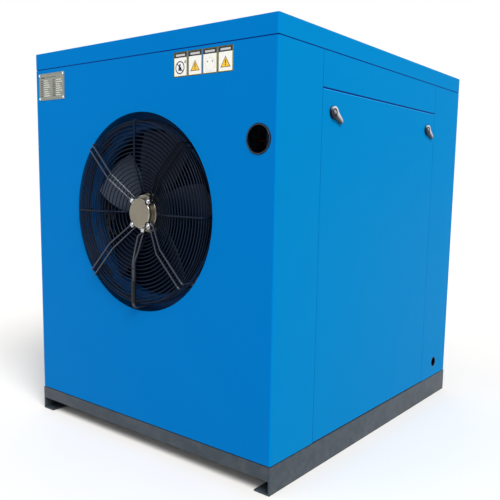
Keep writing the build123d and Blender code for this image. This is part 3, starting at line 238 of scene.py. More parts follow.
def coated(
    name, colour, rough=(0.28, 0.4), peel=420.0, tone=0.06, dust=0.0, coat=0.0, gloss=0.5,
    floor_shade=1.0, faces=None,
):
    """Paint or powder coat: orange peel, slight tone drift, dust, painted shade that deepens the tone
    towards the floor, and painted light tints by face direction.
    """
    g = Graph(name)
    body = g.ramp(g.noise(*DRIFT), [(0.3, shade(colour, 1 - tone)), (0.7, shade(colour, 1 + tone))])
    height = g.axes(g.place)["Z"]
    # Painted shade: the colour deepens towards the floor, standing in for the shade low on the cabinet.
    if floor_shade < 1.0:
        deep = g.remap(height, 1.0, 0.0, 0.1, 1.2)
        body = g.mix(deep, body, shade(colour, floor_shade))
    # Painted light: the faces towards the front and towards the right side get their own tints.
    if faces:
        body = g.mix(g.constant(1.0), body, g.face_light_tint(*faces), "MULTIPLY")
    if dust:
        low = g.remap(height, 1.0, 0.0, 0.02, 0.4)
        speck = g.remap(g.noise(*SPECK), 0.0, dust, 0.42, 0.75)
        body = g.mix(g.product(low, speck), body, DUST_TONE)
    g.feed(Base_Color=body, Roughness=g.remap(g.noise(*CLOUD), *rough))
    g.bump(g.noise(peel, *PEEL_DETAIL), PEEL_STRENGTH, PEEL_DEPTH)
    g.set(Specular_IOR_Level=gloss)
    if coat:
        g.set(Coat_Weight=coat, Coat_Roughness=0.12)
    return g.material


def metal(name, colour, rough=(0.2, 0.34), grain=(1, 1, 1), scale=300.0, tone=0.12, dull=0.0):
    """Bare or plated metal with a grain that follows the stretch."""
    g = Graph(name)
    lines = g.noise(scale, 4.0, 0.6, grain)
    cloud = g.noise(*WEAR)
    body = g.ramp(lines, [(0.25, shade(colour, 1 - tone)), (0.75, shade(colour, 1 + tone))])
    if dull:
        body = g.mix(g.remap(cloud, 0.0, dull, 0.45, 0.75), body, shade(colour, 0.45))
    g.feed(Base_Color=body, Roughness=g.remap(cloud, *rough))
    g.set(Metallic=1.0)
    g.bump(lines, 0.3, 0.00004)
    return g.material


def painted_shade_blue(name):
    """Cabinet paint behind the guard, with painted shade and light: darker up and right on the plate, down
    and right in the collar, where the recess lies in shade, and lighter towards the lower left, where the
    light falls.
    """
    g = Graph(name)
    offset = g.offset(FAN_CENTRE)

    def across(direction, stops):
        return g.ramp(g.remap(g.along(offset, direction), 0.0, 1.0, -0.3, 0.3), stops)

    plate = across((-0.97, 0.0, -0.20), [
        (0.0, (0.0, 0.026, 0.10)), (0.55, (0.0, 0.028, 0.11)), (1.0, (0.0, 0.06, 0.21)),
    ])
    collar = across((-0.95, 0.0, 0.30), [
        (0.0, (0.0, 0.032, 0.115)), (0.6, (0.0, 0.035, 0.115)), (1.0, (0.0, 0.075, 0.25)),
    ])
    inner = g.remap(g.axes(offset)["Y"], 0.0, 1.0, *PLATE_DEPTHS)
    g.feed(Base_Color=g.mix(inner, collar, plate), Roughness=g.remap(g.noise(*CLOUD), 0.34, 0.46))
    g.bump(g.noise(420.0, *PEEL_DETAIL), PEEL_STRENGTH, PEEL_DEPTH)
    g.set(Specular_IOR_Level=0.06)
    return g.material


def latch_painted_glint(name, y):
    """Plated zinc of a quarter-turn latch, with a painted highlight and painted shade: bright above the line
    of its tail, dark along the lower edge.
    """
    g = Graph(name)
    # Painted highlight above and painted shade below, along a fixed direction across the head.
    glint_fall = g.along(g.offset((0.0, y, LATCH_Z)), LATCH_SHADE_FALL)
    tone = g.ramp(g.remap(glint_fall, 0.0, 1.0, -LATCH_R, LATCH_R), [
        (0.0, srgb(238, 238, 240)), (0.30, srgb(212, 213, 217)), (0.47, srgb(140, 143, 150)),
        (0.58, srgb(58, 62, 72)), (1.0, srgb(22, 26, 36)),
    ])
    g.feed(Base_Color=tone, Roughness=g.remap(g.noise(*WEAR), 0.18, 0.28))
    g.set(Metallic=0.35)
    g.bump(g.noise(500.0, 4.0, 0.6), 0.3, 0.00003)
    return g.material


def leg_painted_highlight(name):
    """Wire coating of the guard legs, with a painted highlight: a paler tone on three legs, dull and dark on
    the upper right one.
    """
    g = Graph(name)
    place = g.axes(g.offset(FAN_CENTRE))
    painted_light_mask = g.product(
        g.remap(place["X"], 0.0, 1.0, 0.010, 0.030), g.remap(place["Z"], 0.0, 1.0, 0.010, 0.030),
    )
    # Painted highlight: the paler tone stands in for the light caught by three legs; the upper right leg
    # stays dark.
    pale = g.ramp(g.noise(60.0), [(0.3, srgb(30, 38, 54)), (0.7, srgb(38, 46, 62))])
    g.feed(
        Base_Color=g.mix(painted_light_mask, pale, srgb(10, 15, 26)),
        Roughness=g.remap(painted_light_mask, 0.16, 0.5, 0.0, 1.0),
        Specular_IOR_Level=g.remap(painted_light_mask, 0.7, 0.05, 0.0, 1.0),
    )
    return g.material


def blade_painted_light(name):
    """Blade enamel, with painted light: a lighter grey on the blade left of the hub, where the light falls
    on it.
    """
    g = Graph(name)
    place = g.axes(g.offset(FAN_CENTRE))
    painted_light_mask = g.product(
        g.remap(place["X"], 1.0, 0.0, -0.070, -0.035), g.remap(place["Z"], 0.0, 1.0, -0.020, 0.020),
    )
    dark = g.ramp(g.noise(9.0), [(0.3, srgb(11, 18, 33)), (0.7, srgb(14, 23, 40))])
    # Painted light: the lighter grey stands in for the light on the blade left of the hub.
    g.feed(
        Base_Color=g.mix(painted_light_mask, dark, srgb(66, 74, 88)),
        Roughness=g.remap(g.noise(*CLOUD), 0.3, 0.42),
    )
    g.set(Specular_IOR_Level=0.1)
    return g.material


def frame_blue_painted_shade(name):
    """Frame paint: deep blue where it shows in the seam under the lid, and painted shade below, near black,
    for the dark inside the cabinet.
    """
    g = Graph(name)
    top = g.remap(g.axes(g.place)["Z"], 0.0, 1.0, *SEAM_SHADE_HEIGHTS)
    # Painted shade: near black below the seam, so the posts read as dark through the port.
    low = g.ramp(g.noise(9.0), [(0.3, (0.0, 0.005, 0.018)), (0.7, (0.0, 0.006, 0.021))])
    g.feed(
        Base_Color=g.mix(top, low, (0.0, 0.055, 0.36, 1.0)),
        Roughness=g.remap(g.noise(*CLOUD), 0.4, 0.5),
    )
    g.set(Specular_IOR_Level=0.06)
    return g.material


def galvanised(name):
    """Zinc-dipped sheet with its spangle."""
    g = Graph(name)
    cell = g.add("ShaderNodeTexVoronoi")
    cell.inputs["Scale"].default_value = 75.0
    g.link(g.place, cell.inputs["Vector"])
    tint = g.ramp(cell.outputs["Color"], [(0.2, srgb(150, 154, 158)), (0.8, srgb(196, 199, 202))])
    g.feed(Base_Color=tint, Roughness=g.remap(cell.outputs["Distance"], 0.3, 0.5, 0.0, 0.6))
    g.set(Metallic=0.9)
    g.bump(g.noise(240.0), 0.15, 0.00003)
    return g.material


def rubbery(name, colour, rough=(0.45, 0.62), pores=900.0, depth=0.00008, sheen=0.0, gloss=0.5):
    """Rubber, foam or moulded plastic with fine pores."""
    g = Graph(name)
    g.feed(
        Base_Color=g.ramp(g.noise(30.0, 5.0, 0.6), [(0.3, shade(colour, 0.8)), (0.7, shade(colour, 1.25))]),
        Roughness=g.remap(g.noise(14.0), *rough),
    )
    g.bump(g.noise(pores, 2.0), 0.3, depth)
    g.set(Specular_IOR_Level=gloss)
    if sheen:
        g.set(Sheen_Weight=sheen)
    return g.material


def film(name, colour, rough=0.4):
    """Printed film or ink with a faint mottle."""
    g = Graph(name)
    g.feed(
        Base_Color=g.ramp(g.noise(260.0, 3.0), [(0.3, shade(colour, 0.95)), (0.7, shade(colour, 1.04))]),
        Roughness=g.remap(g.noise(40.0), rough - 0.06, rough + 0.08),
    )
    return g.material


def glass(name):
    """Thin clear glass."""
    g = Graph(name)
    g.set(Base_Color=(0.96, 0.98, 0.98, 1.0), Roughness=0.04, Alpha=0.22, IOR=1.45)
    g.bump(g.noise(6.0), 0.05, 0.0001)
    return g.material


M = {
    "cabinet_blue": coated(
        "powder_blue", (0.0, 0.194, 0.514, 1.0), (0.34, 0.44), tone=0.02, dust=0.002, gloss=0.01,
        # Painted shade that deepens towards the floor, and painted light tints for the front and the right
        # side.
        floor_shade=0.92,
        faces=((1.0, 0.877, 0.926, 1.0), (1.0, 0.877, 1.0, 1.0), (1.0, 1.0, 0.926, 1.0)),
    ),
    "base_grey": coated(
        "base_paint", srgb(50, 60, 69), (0.34, 0.5), 300.0, tone=0.08, dust=0.12, gloss=0.25,
    ),
    "galvanised_steel": galvanised("galvanised_sheet"),
    "zinc_bright": metal("bright_zinc", srgb(196, 198, 204), (0.14, 0.26), scale=500.0, tone=0.05),
    "guard_wire_black": coated("guard_coating", srgb(17, 27, 44), (0.22, 0.36), 700.0, tone=0.2, gloss=0.08),
    "motor_casting": metal("motor_casting", srgb(150, 144, 130), (0.3, 0.45), scale=600.0, dull=0.2),
    "bearing_steel": metal("bearing_steel", srgb(180, 180, 184)),
    "fan_black": coated("fan_coating", srgb(12, 20, 36), (0.28, 0.4), 500.0, tone=0.15, gloss=0.1),
    "rubber_black": rubbery("moulded_rubber", srgb(8, 10, 15), (0.2, 0.32), gloss=0.22),
    "cable_grey": rubbery("cable_sheath", srgb(42, 46, 56), (0.35, 0.5)),
    "plate_aluminium": metal("plate_brushed", srgb(190, 193, 182), (0.28, 0.4), (1, 1, 60), 40.0),
    "label_film": film("label_white", srgb(236, 236, 230)),
    "coil_fins_black": coated("fin_coating", srgb(22, 38, 64), (0.35, 0.5), 300.0, tone=0.3, gloss=0.1),
    "copper": metal("copper_tube", srgb(190, 112, 74), (0.25, 0.42), dull=0.4),
    "compressor_black": coated("compressor_enamel", srgb(20, 20, 22), (0.2, 0.32), 300.0, coat=0.3),
    "box_plastic": rubbery("black_plastic", srgb(32, 33, 35), (0.35, 0.5), 500.0),
    "pipe_insulation": rubbery("foam_insulation", srgb(22, 22, 24), (0.75, 0.95), 350.0, 0.0004, 0.2),
    "pipe_steel": metal("pipe_steel", srgb(150, 152, 156), (0.32, 0.5), dull=0.25),
    "panel_grey": coated("panel_paint", srgb(196, 199, 202), (0.35, 0.45), tone=0.02),
    "display_black": rubbery("display_gloss", srgb(10, 11, 13), (0.08, 0.14), 200.0, 0.00001),
    "gauge_steel": metal("gauge_case", srgb(176, 178, 182), (0.2, 0.32)),
    "needle_black": coated("needle_paint", srgb(16, 16, 17)),
    "button_green": rubbery("button_green", srgb(24, 140, 62), (0.2, 0.3), 400.0),
    "button_red": rubbery("button_red", srgb(186, 28, 24), (0.2, 0.3), 400.0),
}


OWN_LOOK = {
    "fan_bulkhead": painted_shade_blue("bulkhead_blue_painted_shade"),
    # Painted shade: the blue venturi ring is given a dark navy for the shade deep in the fan opening.
    "venturi_ring": coated("ring_navy_painted_shade", (0.0, 0.025, 0.09, 1.0), (0.34, 0.46), tone=0.03, gloss=0.08),
    "inner_frame": frame_blue_painted_shade("frame_navy_painted_shade"),
    "fan_impeller": blade_painted_light("blade_enamel_painted_light"),
    "guard_legs": leg_painted_highlight("leg_painted_highlight"),
    "latch_knob_front": latch_painted_glint("latch_chrome_front", LATCHES[0][1]),
    "latch_knob_rear": latch_painted_glint("latch_chrome_rear", LATCHES[1][1]),
    "nameplate_rivets": metal("rivet_bright", srgb(236, 238, 240), (0.1, 0.2), scale=500.0, tone=0.03),
}


def dress_nodes():
    """Every CAD node takes the material of its slot, or its own look."""
    for row in frame["record"]["subparts"]:
        node = NODES[row["node"]]
        node.data.materials.clear()
        node.data.materials.append(OWN_LOOK.get(row["node"], M[row["material_slot"]]))


EASED = {
    "lid": 0.0012, "front_panel": 0.0007, "rear_panel": 0.0007, "left_panel": 0.0006,
    "header_strip": 0.0007, "access_door": 0.0014, "base_rail_left": 0.0023,
    "base_rail_right": 0.0023, "base_crossmembers": 0.0018, "control_panel": 0.001,
}
EASED_SEGMENTS, EASED_FROM = 2, math.radians(50)


def ease_edges():
    """Small rounds on the sheet and channel edges that catch the light."""
    for name, width in EASED.items():
        bevel = NODES[name].modifiers.new("eased", "BEVEL")
        bevel.width = width
        bevel.segments = EASED_SEGMENTS
        bevel.limit_method = "ANGLE"
        bevel.angle_limit = EASED_FROM
        bevel.harden_normals = False


# ------------------------------------------------------------------ mesh helpers
def piece(name, build, material, body="cabinet", smooth=False):
    """New mesh object made by build(bm)."""
    mesh = bpy.data.meshes.new(name)
    bm = bmesh.new()
    build(bm)
    bmesh.ops.recalc_face_normals(bm, faces=bm.faces[:])
    bm.to_mesh(mesh)
    bm.free()
    if smooth:
        for face in mesh.polygons:
            face.use_smooth = True
    mesh.materials.append(material)
    made = bpy.data.objects.new(name, mesh)
    SCENE.collection.objects.link(made)
    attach(made, body)
    return made


def block(bm, xs, ys, zs):
    corners = [bm.verts.new((x, y, z)) for x in xs for y in ys for z in zs]
    for quad in ((0, 1, 3, 2), (4, 6, 7, 5), (0, 4, 5, 1), (2, 3, 7, 6), (0, 2, 6, 4), (1, 5, 7, 3)):
        bm.faces.new([corners[i] for i in quad])


def prism(bm, outline, y_back, y_face):
    """Flat shape in the XZ plane between two Y values."""
    back = [bm.verts.new((x, y_back, z)) for x, z in outline]
    front = [bm.verts.new((x, y_face, z)) for x, z in outline]
    bm.faces.new(back)
    bm.faces.new(front)
    count = len(outline)
    for i in range(count):
        bm.faces.new((back[i], back[(i + 1) % count], front[(i + 1) % count], front[i]))


def join_rings(bm, previous, ring):
    """Skin between two rings of vertices, or the end cap where there is no ring before."""
    if not previous:
        bm.faces.new(ring)
        return
    count = len(ring)
    for k in range(count):
        after = (k + 1) % count
        bm.faces.new((previous[k], previous[after], ring[after], ring[k]))


def disc(cx, cz, radius, count=40):
    angles = [math.tau * i / count for i in range(count)]
    return [(cx + radius * math.cos(a), cz + radius * math.sin(a)) for a in angles]


def band(bm, centre, radii, ys, count, start=0.0, sweep=math.tau):
    """Flat ring, or a stretch of one, in the XZ plane between two Y values."""
    (cx, cz), (inner, outer) = centre, radii
    for i in range(count):
        a0, a1 = start + sweep * i / count, start + sweep * (i + 1) / count
        quad = [
            (cx + radius * math.cos(a), cz + radius * math.sin(a))
            for radius, a in ((inner, a0), (outer, a0), (outer, a1), (inner, a1))
        ]
        prism(bm, quad, *ys)


def rod_between(bm, start, end, radius, sides=12):
    start, end = Vector(start), Vector(end)
    run = end - start
    turn = run.to_track_quat("Z", "Y").to_matrix().to_4x4()
    middle = Matrix.Translation((start + end) / 2)
    bmesh.ops.create_cone(
        bm, cap_ends=True, segments=sides, radius1=radius, radius2=radius,
        depth=run.length, matrix=middle @ turn,
    )


# ------------------------------------------------------------------ condenser coil
FIN_PITCH = 0.0042
FIN_THICK = 0.0004
TUBE_ROWS = 24
TUBE_RADIUS = 0.0048
TUBE_INSET = 0.012


def add_coil():
    """Fins and tubes in place of the coil's plain block."""
    low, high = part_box("condenser_coil")

    def fins(bm):
        count = int((high.x - low.x) / FIN_PITCH)
        for i in range(count + 1):
            x = low.x + FIN_THICK + i * (high.x - low.x - 2 * FIN_THICK) / count
            block(bm, (x - FIN_THICK / 2, x + FIN_THICK / 2), (low.y, high.y), (low.z, high.z))

    coil = piece("coil_fins", fins, M["coil_fins_black"])
    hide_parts("condenser_coil")

    def tubes(bm):
        step = (high.z - low.z) / (TUBE_ROWS + 1)
        for row in range(TUBE_ROWS):
            z = low.z + step * (row + 1)
            for y in (low.y + TUBE_INSET, (low.y + high.y) / 2, high.y - TUBE_INSET):
                rod_between(bm, (low.x, y, z), (high.x, y, z), TUBE_RADIUS, 10)

    piece("coil_tubes", tubes, M["copper"], smooth=True)


# ------------------------------------------------------------------ nameplate and stickers
INK = 0.00008
INK_LIFT = 0.0001


def bar(bm, x0, x1, z0, z1, face, thick=INK):
    block(bm, (x0, x1), (face - thick, face), (z0, z1))


PLATE_ROWS, PLATE_FIRST_ROW, PLATE_ROW_STEP = 8, 0.024, 0.0071
PLATE_BORDER, PLATE_BORDER_LINE, PLATE_MARGIN = 0.003, 0.0006, 0.008
PLATE_LABEL_X, PLATE_FIELD_X, PLATE_COLUMN_TRIM = 0.010, 0.029, 0.004
RIVET_INSET, RIVET_CAP_R, RIVET_CAP_YS = 0.0055, 0.0040, (0.0012, 0.0016)


def add_nameplate():
    """Generic rules and blank fields, with no lettering."""
    low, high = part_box("nameplate")
    face = low.y
    column_step = (high.x - low.x) / 2 - PLATE_COLUMN_TRIM
    cells = [
        (row, column, low.x + column * column_step, high.z - PLATE_FIRST_ROW - row * PLATE_ROW_STEP)
        for row in range(PLATE_ROWS) for column in range(2)
    ]

    def ink(bm):
        bar(bm, low.x + 0.012, low.x + 0.034, high.z - 0.0150, high.z - 0.0115, face)
        bar(bm, low.x + 0.044, high.x - 0.046, high.z - 0.0138, high.z - 0.0124, face)
        for row, column, x, z in cells:
            label = 0.012 + 0.003 * ((row * 3 + column) % 3)
            bar(bm, x + PLATE_LABEL_X, x + PLATE_LABEL_X + label, z - 0.0011, z + 0.0013, face)
            if column:
                bar(bm, low.x + PLATE_MARGIN, high.x - PLATE_MARGIN, z - 0.0038, z - 0.0034, face)
        x0, x1 = low.x + PLATE_BORDER, high.x - PLATE_BORDER
        z0, z1 = low.z + PLATE_BORDER, high.z - PLATE_BORDER
        bar(bm, x0, x1, z1 - PLATE_BORDER_LINE, z1, face)
        bar(bm, x0, x1, z0, z0 + PLATE_BORDER_LINE, face)
        bar(bm, x0, x0 + PLATE_BORDER_LINE, z0, z1, face)
        bar(bm, x1 - PLATE_BORDER_LINE, x1, z0, z1, face)

    piece("nameplate_rules", ink, film("plate_ink", srgb(24, 30, 48), 0.5))

    def fields(bm):
        for row, column, x, z in cells:
            reach = 0.020 + 0.005 * ((row * 5 + column * 2) % 4)
            left = x + PLATE_FIELD_X
            bar(bm, left, left + reach, z - 0.0012, z + 0.0016, face, 0.00006)

    pale = film("plate_fields", srgb(206, 209, 202), 0.45)
    piece("nameplate_fields", fields, pale)

    def caps(bm):
        near, far = RIVET_CAP_YS
        for x in (low.x + RIVET_INSET, high.x - RIVET_INSET):
            for z in (low.z + RIVET_INSET, high.z - RIVET_INSET):
                prism(bm, disc(x, z, RIVET_CAP_R, 24), face - near, face - far)

    white = film("cap_white", srgb(232, 242, 246), 0.3)
    piece("nameplate_rivet_caps", caps, white)


STICKER_X = (0.1814, 0.2375, 0.2923, 0.3478)
STICKER_HALF, STICKER_OUTLINE, STICKER_FRAME = 0.02625, 0.0020, 0.0008
SIGN_Z = 0.025
TRIANGLE = ((-0.0172, -0.0130), (0.0172, -0.0130), (0.0, 0.0150))
TRIANGLE_EDGE = 0.0015
INKS = {
    "black": (24, 24, 28), "yellow": (206, 186, 52), "olive": (46, 54, 22),
    "blue": (22, 36, 78), "orange": (240, 192, 52), "grey": (188, 189, 192),
}


def add_stickers():
    """Outlines, headers and one generic sign on each of the four stickers, with no lettering."""
    low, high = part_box("warning_labels")
    face = low.y
    middle = low.z + SIGN_Z
    ink = (face, face - INK)
    ink_above = (face - INK_LIFT, face - INK_LIFT - INK)
    inks = {name: film(f"ink_{name}", srgb(*colour), 0.35) for name, colour in INKS.items()}

    def sign(name, build, colour):
        piece(f"sticker_{name}", build, inks[colour])

    def shape(bm, cx, outline, ys=ink):
        prism(bm, [(cx + x, middle + z) for x, z in outline], *ys)

    def frame_bars(bm, inset, edge):
        for cx in STICKER_X:
            x0, x1 = cx - STICKER_HALF + inset, cx + STICKER_HALF - inset
            z0, z1 = low.z + inset, high.z - inset
            bar(bm, x0, x1, z1 - edge, z1, face)
            bar(bm, x0, x1, z0, z0 + edge, face)
            bar(bm, x0, x0 + edge, z0 + edge, z1 - edge, face)
            bar(bm, x1 - edge, x1, z0 + edge, z1 - edge, face)

    sign("outlines", lambda bm: frame_bars(bm, 0.0, STICKER_OUTLINE), "olive")
    sign("frames", lambda bm: frame_bars(bm, STICKER_OUTLINE, STICKER_FRAME), "yellow")

    def headers(bm):
        half = STICKER_HALF - 0.0023
        for cx in STICKER_X:
            bar(bm, cx - half, cx + half, high.z - 0.0155, high.z - 0.0023, face)

    sign("headers", headers, "black")

    def bands(bm):
        for cx in STICKER_X:
            bar(bm, cx - 0.0175, cx + 0.0175, high.z - 0.0118, high.z - 0.0062, face - INK_LIFT)

    sign("bands", bands, "grey")

    def round_sign(bm):
        cx = STICKER_X[0]
        band(bm, (cx - 0.002, middle), (0.0146, 0.0176), ink, 48)
        prism(bm, disc(cx - 0.002, middle + 0.0062, 0.0034, 20), *ink)
        shape(bm, cx, [(-0.0085, -0.0085), (0.0045, -0.0085), (0.0025, 0.0020), (-0.0065, 0.0020)])
        bar(bm, cx + 0.0165, cx + 0.0200, middle + 0.010, middle + 0.018, face)
        shape(bm, cx, [(-0.0140, 0.0100), (-0.0120, 0.0120), (0.0100, -0.0100), (0.0080, -0.0120)])

    sign("round_sign", round_sign, "blue")

    def triangles(bm):
        for cx in (STICKER_X[1], STICKER_X[3]):
            shape(bm, cx, TRIANGLE)

    sign("triangles", triangles, "orange")

    def triangle_marks(bm):
        for cx in (STICKER_X[1], STICKER_X[3]):
            bar(bm, cx - 0.0015, cx + 0.0015, middle - 0.004, middle + 0.0065, face - INK_LIFT)
            prism(bm, disc(cx, middle - 0.0075, 0.0017, 16), *ink_above)
            for (ax, az), (bx, bz) in zip(TRIANGLE, TRIANGLE[1:] + TRIANGLE[:1]):
                scale = TRIANGLE_EDGE / math.hypot(bx - ax, bz - az)
                nx, nz = -(bz - az) * scale, (bx - ax) * scale
                edge = [(ax, az), (bx, bz), (bx + nx, bz + nz), (ax + nx, az + nz)]
                shape(bm, cx, edge, ink_above)

    sign("triangle_marks", triangle_marks, "black")

    def line_sign(bm):
        cx = STICKER_X[2]
        band(bm, (cx, middle), (0.0161, 0.0168), ink, 48)
        bar(bm, cx - 0.0175, cx + 0.0175, middle - 0.0200, middle - 0.0194, face)

    sign("line_sign", line_sign, "grey")

    def line_marks(bm):
        for side in (-1, 1):
            prism(bm, disc(STICKER_X[2] + side * 0.0085, middle + 0.0065, 0.0019, 16), *ink)

    sign("line_marks", line_marks, "blue")


# ------------------------------------------------------------------ rear controls
GAUGE_CENTRES = (0.310, 0.410)
GAUGE_Z = 1.045
DIAL_Y, DIAL_R = 0.5786, 0.0312
LENS_Y, LENS_THICK = 0.5962, 0.001
DIAL_START, DIAL_SPAN = math.radians(-45), math.radians(270)
TICKS, TICK_END, TICK_RISE = 40, 0.0282, 0.00012
LONG_TICK, SHORT_TICK = (0.0058, 0.0007), (0.0032, 0.0004)
ZONE_RADII, ZONE_SHARE = (0.0292, 0.0304), 0.2


def add_gauges():
    """Dial, marks and glass of both pressure gauges."""
    dial_white = film("dial_white", srgb(238, 238, 234))
    dial_ink = film("dial_ink", srgb(20, 20, 24), 0.5)
    dial_zone = film("dial_zone", srgb(190, 40, 30), 0.5)
    lens_glass = glass("gauge_glass")

    def ticks(bm, cx):
        for i in range(TICKS + 1):
            angle = DIAL_START + DIAL_SPAN * i / TICKS
            reach, width = SHORT_TICK if i % 5 else LONG_TICK
            ca, sa = math.cos(angle), math.sin(angle)
            start, half = TICK_END - reach, width / 2
            quad = [
                (cx + r * ca - w * sa, GAUGE_Z + r * sa + w * ca)
                for r, w in ((start, -half), (TICK_END, -half), (TICK_END, half), (start, half))
            ]
            prism(bm, quad, DIAL_Y, DIAL_Y + TICK_RISE)

    def zone(bm, cx):
        ys = (DIAL_Y, DIAL_Y + INK_LIFT)
        band(bm, (cx, GAUGE_Z), ZONE_RADII, ys, 12, DIAL_START, DIAL_SPAN * ZONE_SHARE)

    for side, cx in zip(("low", "high"), GAUGE_CENTRES):
        round_face = disc(cx, GAUGE_Z, DIAL_R)
        for name, build, material in (
            ("dial_face", lambda bm: prism(bm, round_face, DIAL_Y - INK_LIFT, DIAL_Y), dial_white),
            ("dial_ticks", lambda bm: ticks(bm, cx), dial_ink),
            ("dial_zone", lambda bm: zone(bm, cx), dial_zone),
            ("gauge_lens", lambda bm: prism(bm, round_face, LENS_Y - LENS_THICK, LENS_Y), lens_glass),
        ):
            piece(f"{name}_{side}", build, material)


# Bars of each digit on the display, by the usual letters of a seven-bar digit.
SEGMENTS = {"0": "abcdef", "3": "abgcd"}
DIGIT_WIDE, DIGIT_HIGH, DIGIT_BAR, DIGIT_STEP = 0.011, 0.022, 0.0019, 0.018
LCD_X, LCD_Z, LCD_RISE, LIT_RISE = (0.012, 0.098), (0.018, 0.010), 0.0004, 0.0006
DIGIT_X, DIGIT_Z = 0.070, 0.026
POINT_X, POINT_SIZE = 0.034, (0.0022, 0.002)
KEY_X, KEY_Z, KEY_STEPS, KEY_R, KEY_RISE = 0.111, 0.024, (0.020, 0.022), 0.0068, 0.0016


def add_controller():
    """Display with two lit digits, and four keys."""
    low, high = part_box("controller_display")
    face = high.y
    lit_ys = (face + LCD_RISE, face + LIT_RISE)
    screen = film("lcd_screen", srgb(18, 44, 34), 0.15)
    lit = Graph("lcd_lit")
    lit.feed(Base_Color=lit.ramp(lit.noise(300.0), [(0.3, srgb(90, 230, 120)), (0.7, srgb(120, 250, 150))]))
    lit.set(Emission_Color=srgb(90, 235, 120), Emission_Strength=0.6, Roughness=0.4)
    key_grey = rubbery("keypad_grey", srgb(120, 124, 130), (0.4, 0.55), 500.0)

    def glass_face(bm):
        xs, zs = (low.x + LCD_X[0], low.x + LCD_X[1]), (low.z + LCD_Z[0], high.z - LCD_Z[1])
        block(bm, xs, (face, face + LCD_RISE), zs)

    piece("lcd_screen", glass_face, screen)

    def digit(bm, x, z, marks):
        w, h, t = DIGIT_WIDE, DIGIT_HIGH, DIGIT_BAR
        shape = {
            "a": (x, x + w, z + h - t, z + h), "g": (x, x + w, z + h / 2 - t / 2, z + h / 2 + t / 2),
            "d": (x, x + w, z, z + t), "f": (x + w - t, x + w, z + h / 2, z + h),
            "b": (x, x + t, z + h / 2, z + h), "e": (x + w - t, x + w, z, z + h / 2),
            "c": (x, x + t, z, z + h / 2),
        }
        for mark in marks:
            x0, x1, z0, z1 = shape[mark]
            block(bm, (x0, x1), lit_ys, (z0, z1))

    def digits(bm):
        z = low.z + DIGIT_Z
        for i, number in enumerate("30"):
            digit(bm, low.x + DIGIT_X - i * DIGIT_STEP, z, SEGMENTS[number])
        x = low.x + POINT_X
        block(bm, (x, x + POINT_SIZE[0]), lit_ys, (z, z + POINT_SIZE[1]))

    piece("lcd_digits", digits, lit.material)

    def keys(bm):
        for i in range(4):
            cx = low.x + KEY_X + (i % 2) * KEY_STEPS[0]
            cz = low.z + KEY_Z + (i // 2) * KEY_STEPS[1]
            prism(bm, disc(cx, cz, KEY_R, 28), face, face + KEY_RISE)

    piece("keypad_buttons", keys, key_grey)


SCREW_R, SCREW_CROWN, SCREW_RISE, SCREW_CROWN_RISE = 0.0042, 0.72, 0.0014, 0.0021
PANEL_SCREWS = ((0.248, 0.472), (0.828, 1.092), 0.594)
SHEET_SCREWS = ((-0.500, -0.17, 0.17, 0.500), (0.098, 1.180), 0.590)


def screw_head(bm, x, z, face):
    """Low head with a crown, standing out from the rear."""
    prism(bm, disc(x, z, SCREW_R, 24), face, face + SCREW_RISE)
    prism(bm, disc(x, z, SCREW_R * SCREW_CROWN, 24), face + SCREW_RISE, face + SCREW_CROWN_RISE)


def add_panel_screws():
    def rear(bm):
        for xs, zs, face in (PANEL_SCREWS, SHEET_SCREWS):
            for x in xs:
                for z in zs:
                    screw_head(bm, x, z, face)

    piece("rear_screws", rear, M["zinc_bright"])


# ------------------------------------------------------------------ louvres on the left panel
LOUVRES = 18
LOUVRE_Z, LOUVRE_PITCH, LOUVRE_HIGH = 0.330, 0.036, 0.010
LOUVRE_Y, LOUVRE_HALF = (-0.175, 0.155), 0.140
LOUVRE_X, LOUVRE_REACH, LOUVRE_RISE, LOUVRE_DROP = -0.518, 0.013, 0.004, 0.017
LOUVRE_THICK, LOUVRE_STEPS = 0.001, 6


def add_louvres():
    """Curved flaps behind the slots of the left panel."""
    corners = ((0, -1), (0, 1), (LOUVRE_THICK, 1), (LOUVRE_THICK, -1))

    def flap(bm, cy, top):
        previous = None
        for i in range(LOUVRE_STEPS + 1):
            t = i / LOUVRE_STEPS
            x = LOUVRE_X + LOUVRE_REACH * math.sin(t * math.pi / 2)
            height = top - LOUVRE_DROP * t * t
            ring = [bm.verts.new((x + dx, cy + side * LOUVRE_HALF, height)) for dx, side in corners]
            join_rings(bm, previous, ring)
            previous = ring
        bm.faces.new(previous)

    def flaps(bm):
        for row in range(LOUVRES):
            for cy in LOUVRE_Y:
                flap(bm, cy, LOUVRE_Z + LOUVRE_PITCH * row + LOUVRE_HIGH + LOUVRE_RISE)

    piece("louvre_flaps", flaps, M["cabinet_blue"])


# ------------------------------------------------------------------ guard
BEND_STEPS, STRAIGHT = 7, 0.01


def rounded_path(points, bends):
    """Corner points with each inner corner turned into an arc."""
    corners = [Vector(p) for p in points]
    path = [corners[0]]
    for before, corner, after, bend in zip(corners, corners[1:], corners[2:], bends):
        into, out = (corner - before).normalized(), (after - corner).normalized()
        turn = into.angle(out)
        if turn < STRAIGHT:
            path.append(corner)
            continue
        reach = bend * math.tan(turn / 2)
        start, end = corner - into * reach, corner + out * reach
        inward = (out - into).normalized()
        centre = corner + inward * bend / math.cos(turn / 2)
        first, last = start - centre, end - centre
        axis = first.cross(last).normalized()
        sweep = first.angle(last)
        for i in range(BEND_STEPS + 1):
            path.append(centre + Matrix.Rotation(sweep * i / BEND_STEPS, 3, axis) @ first)
    path.append(corners[-1])
    return path


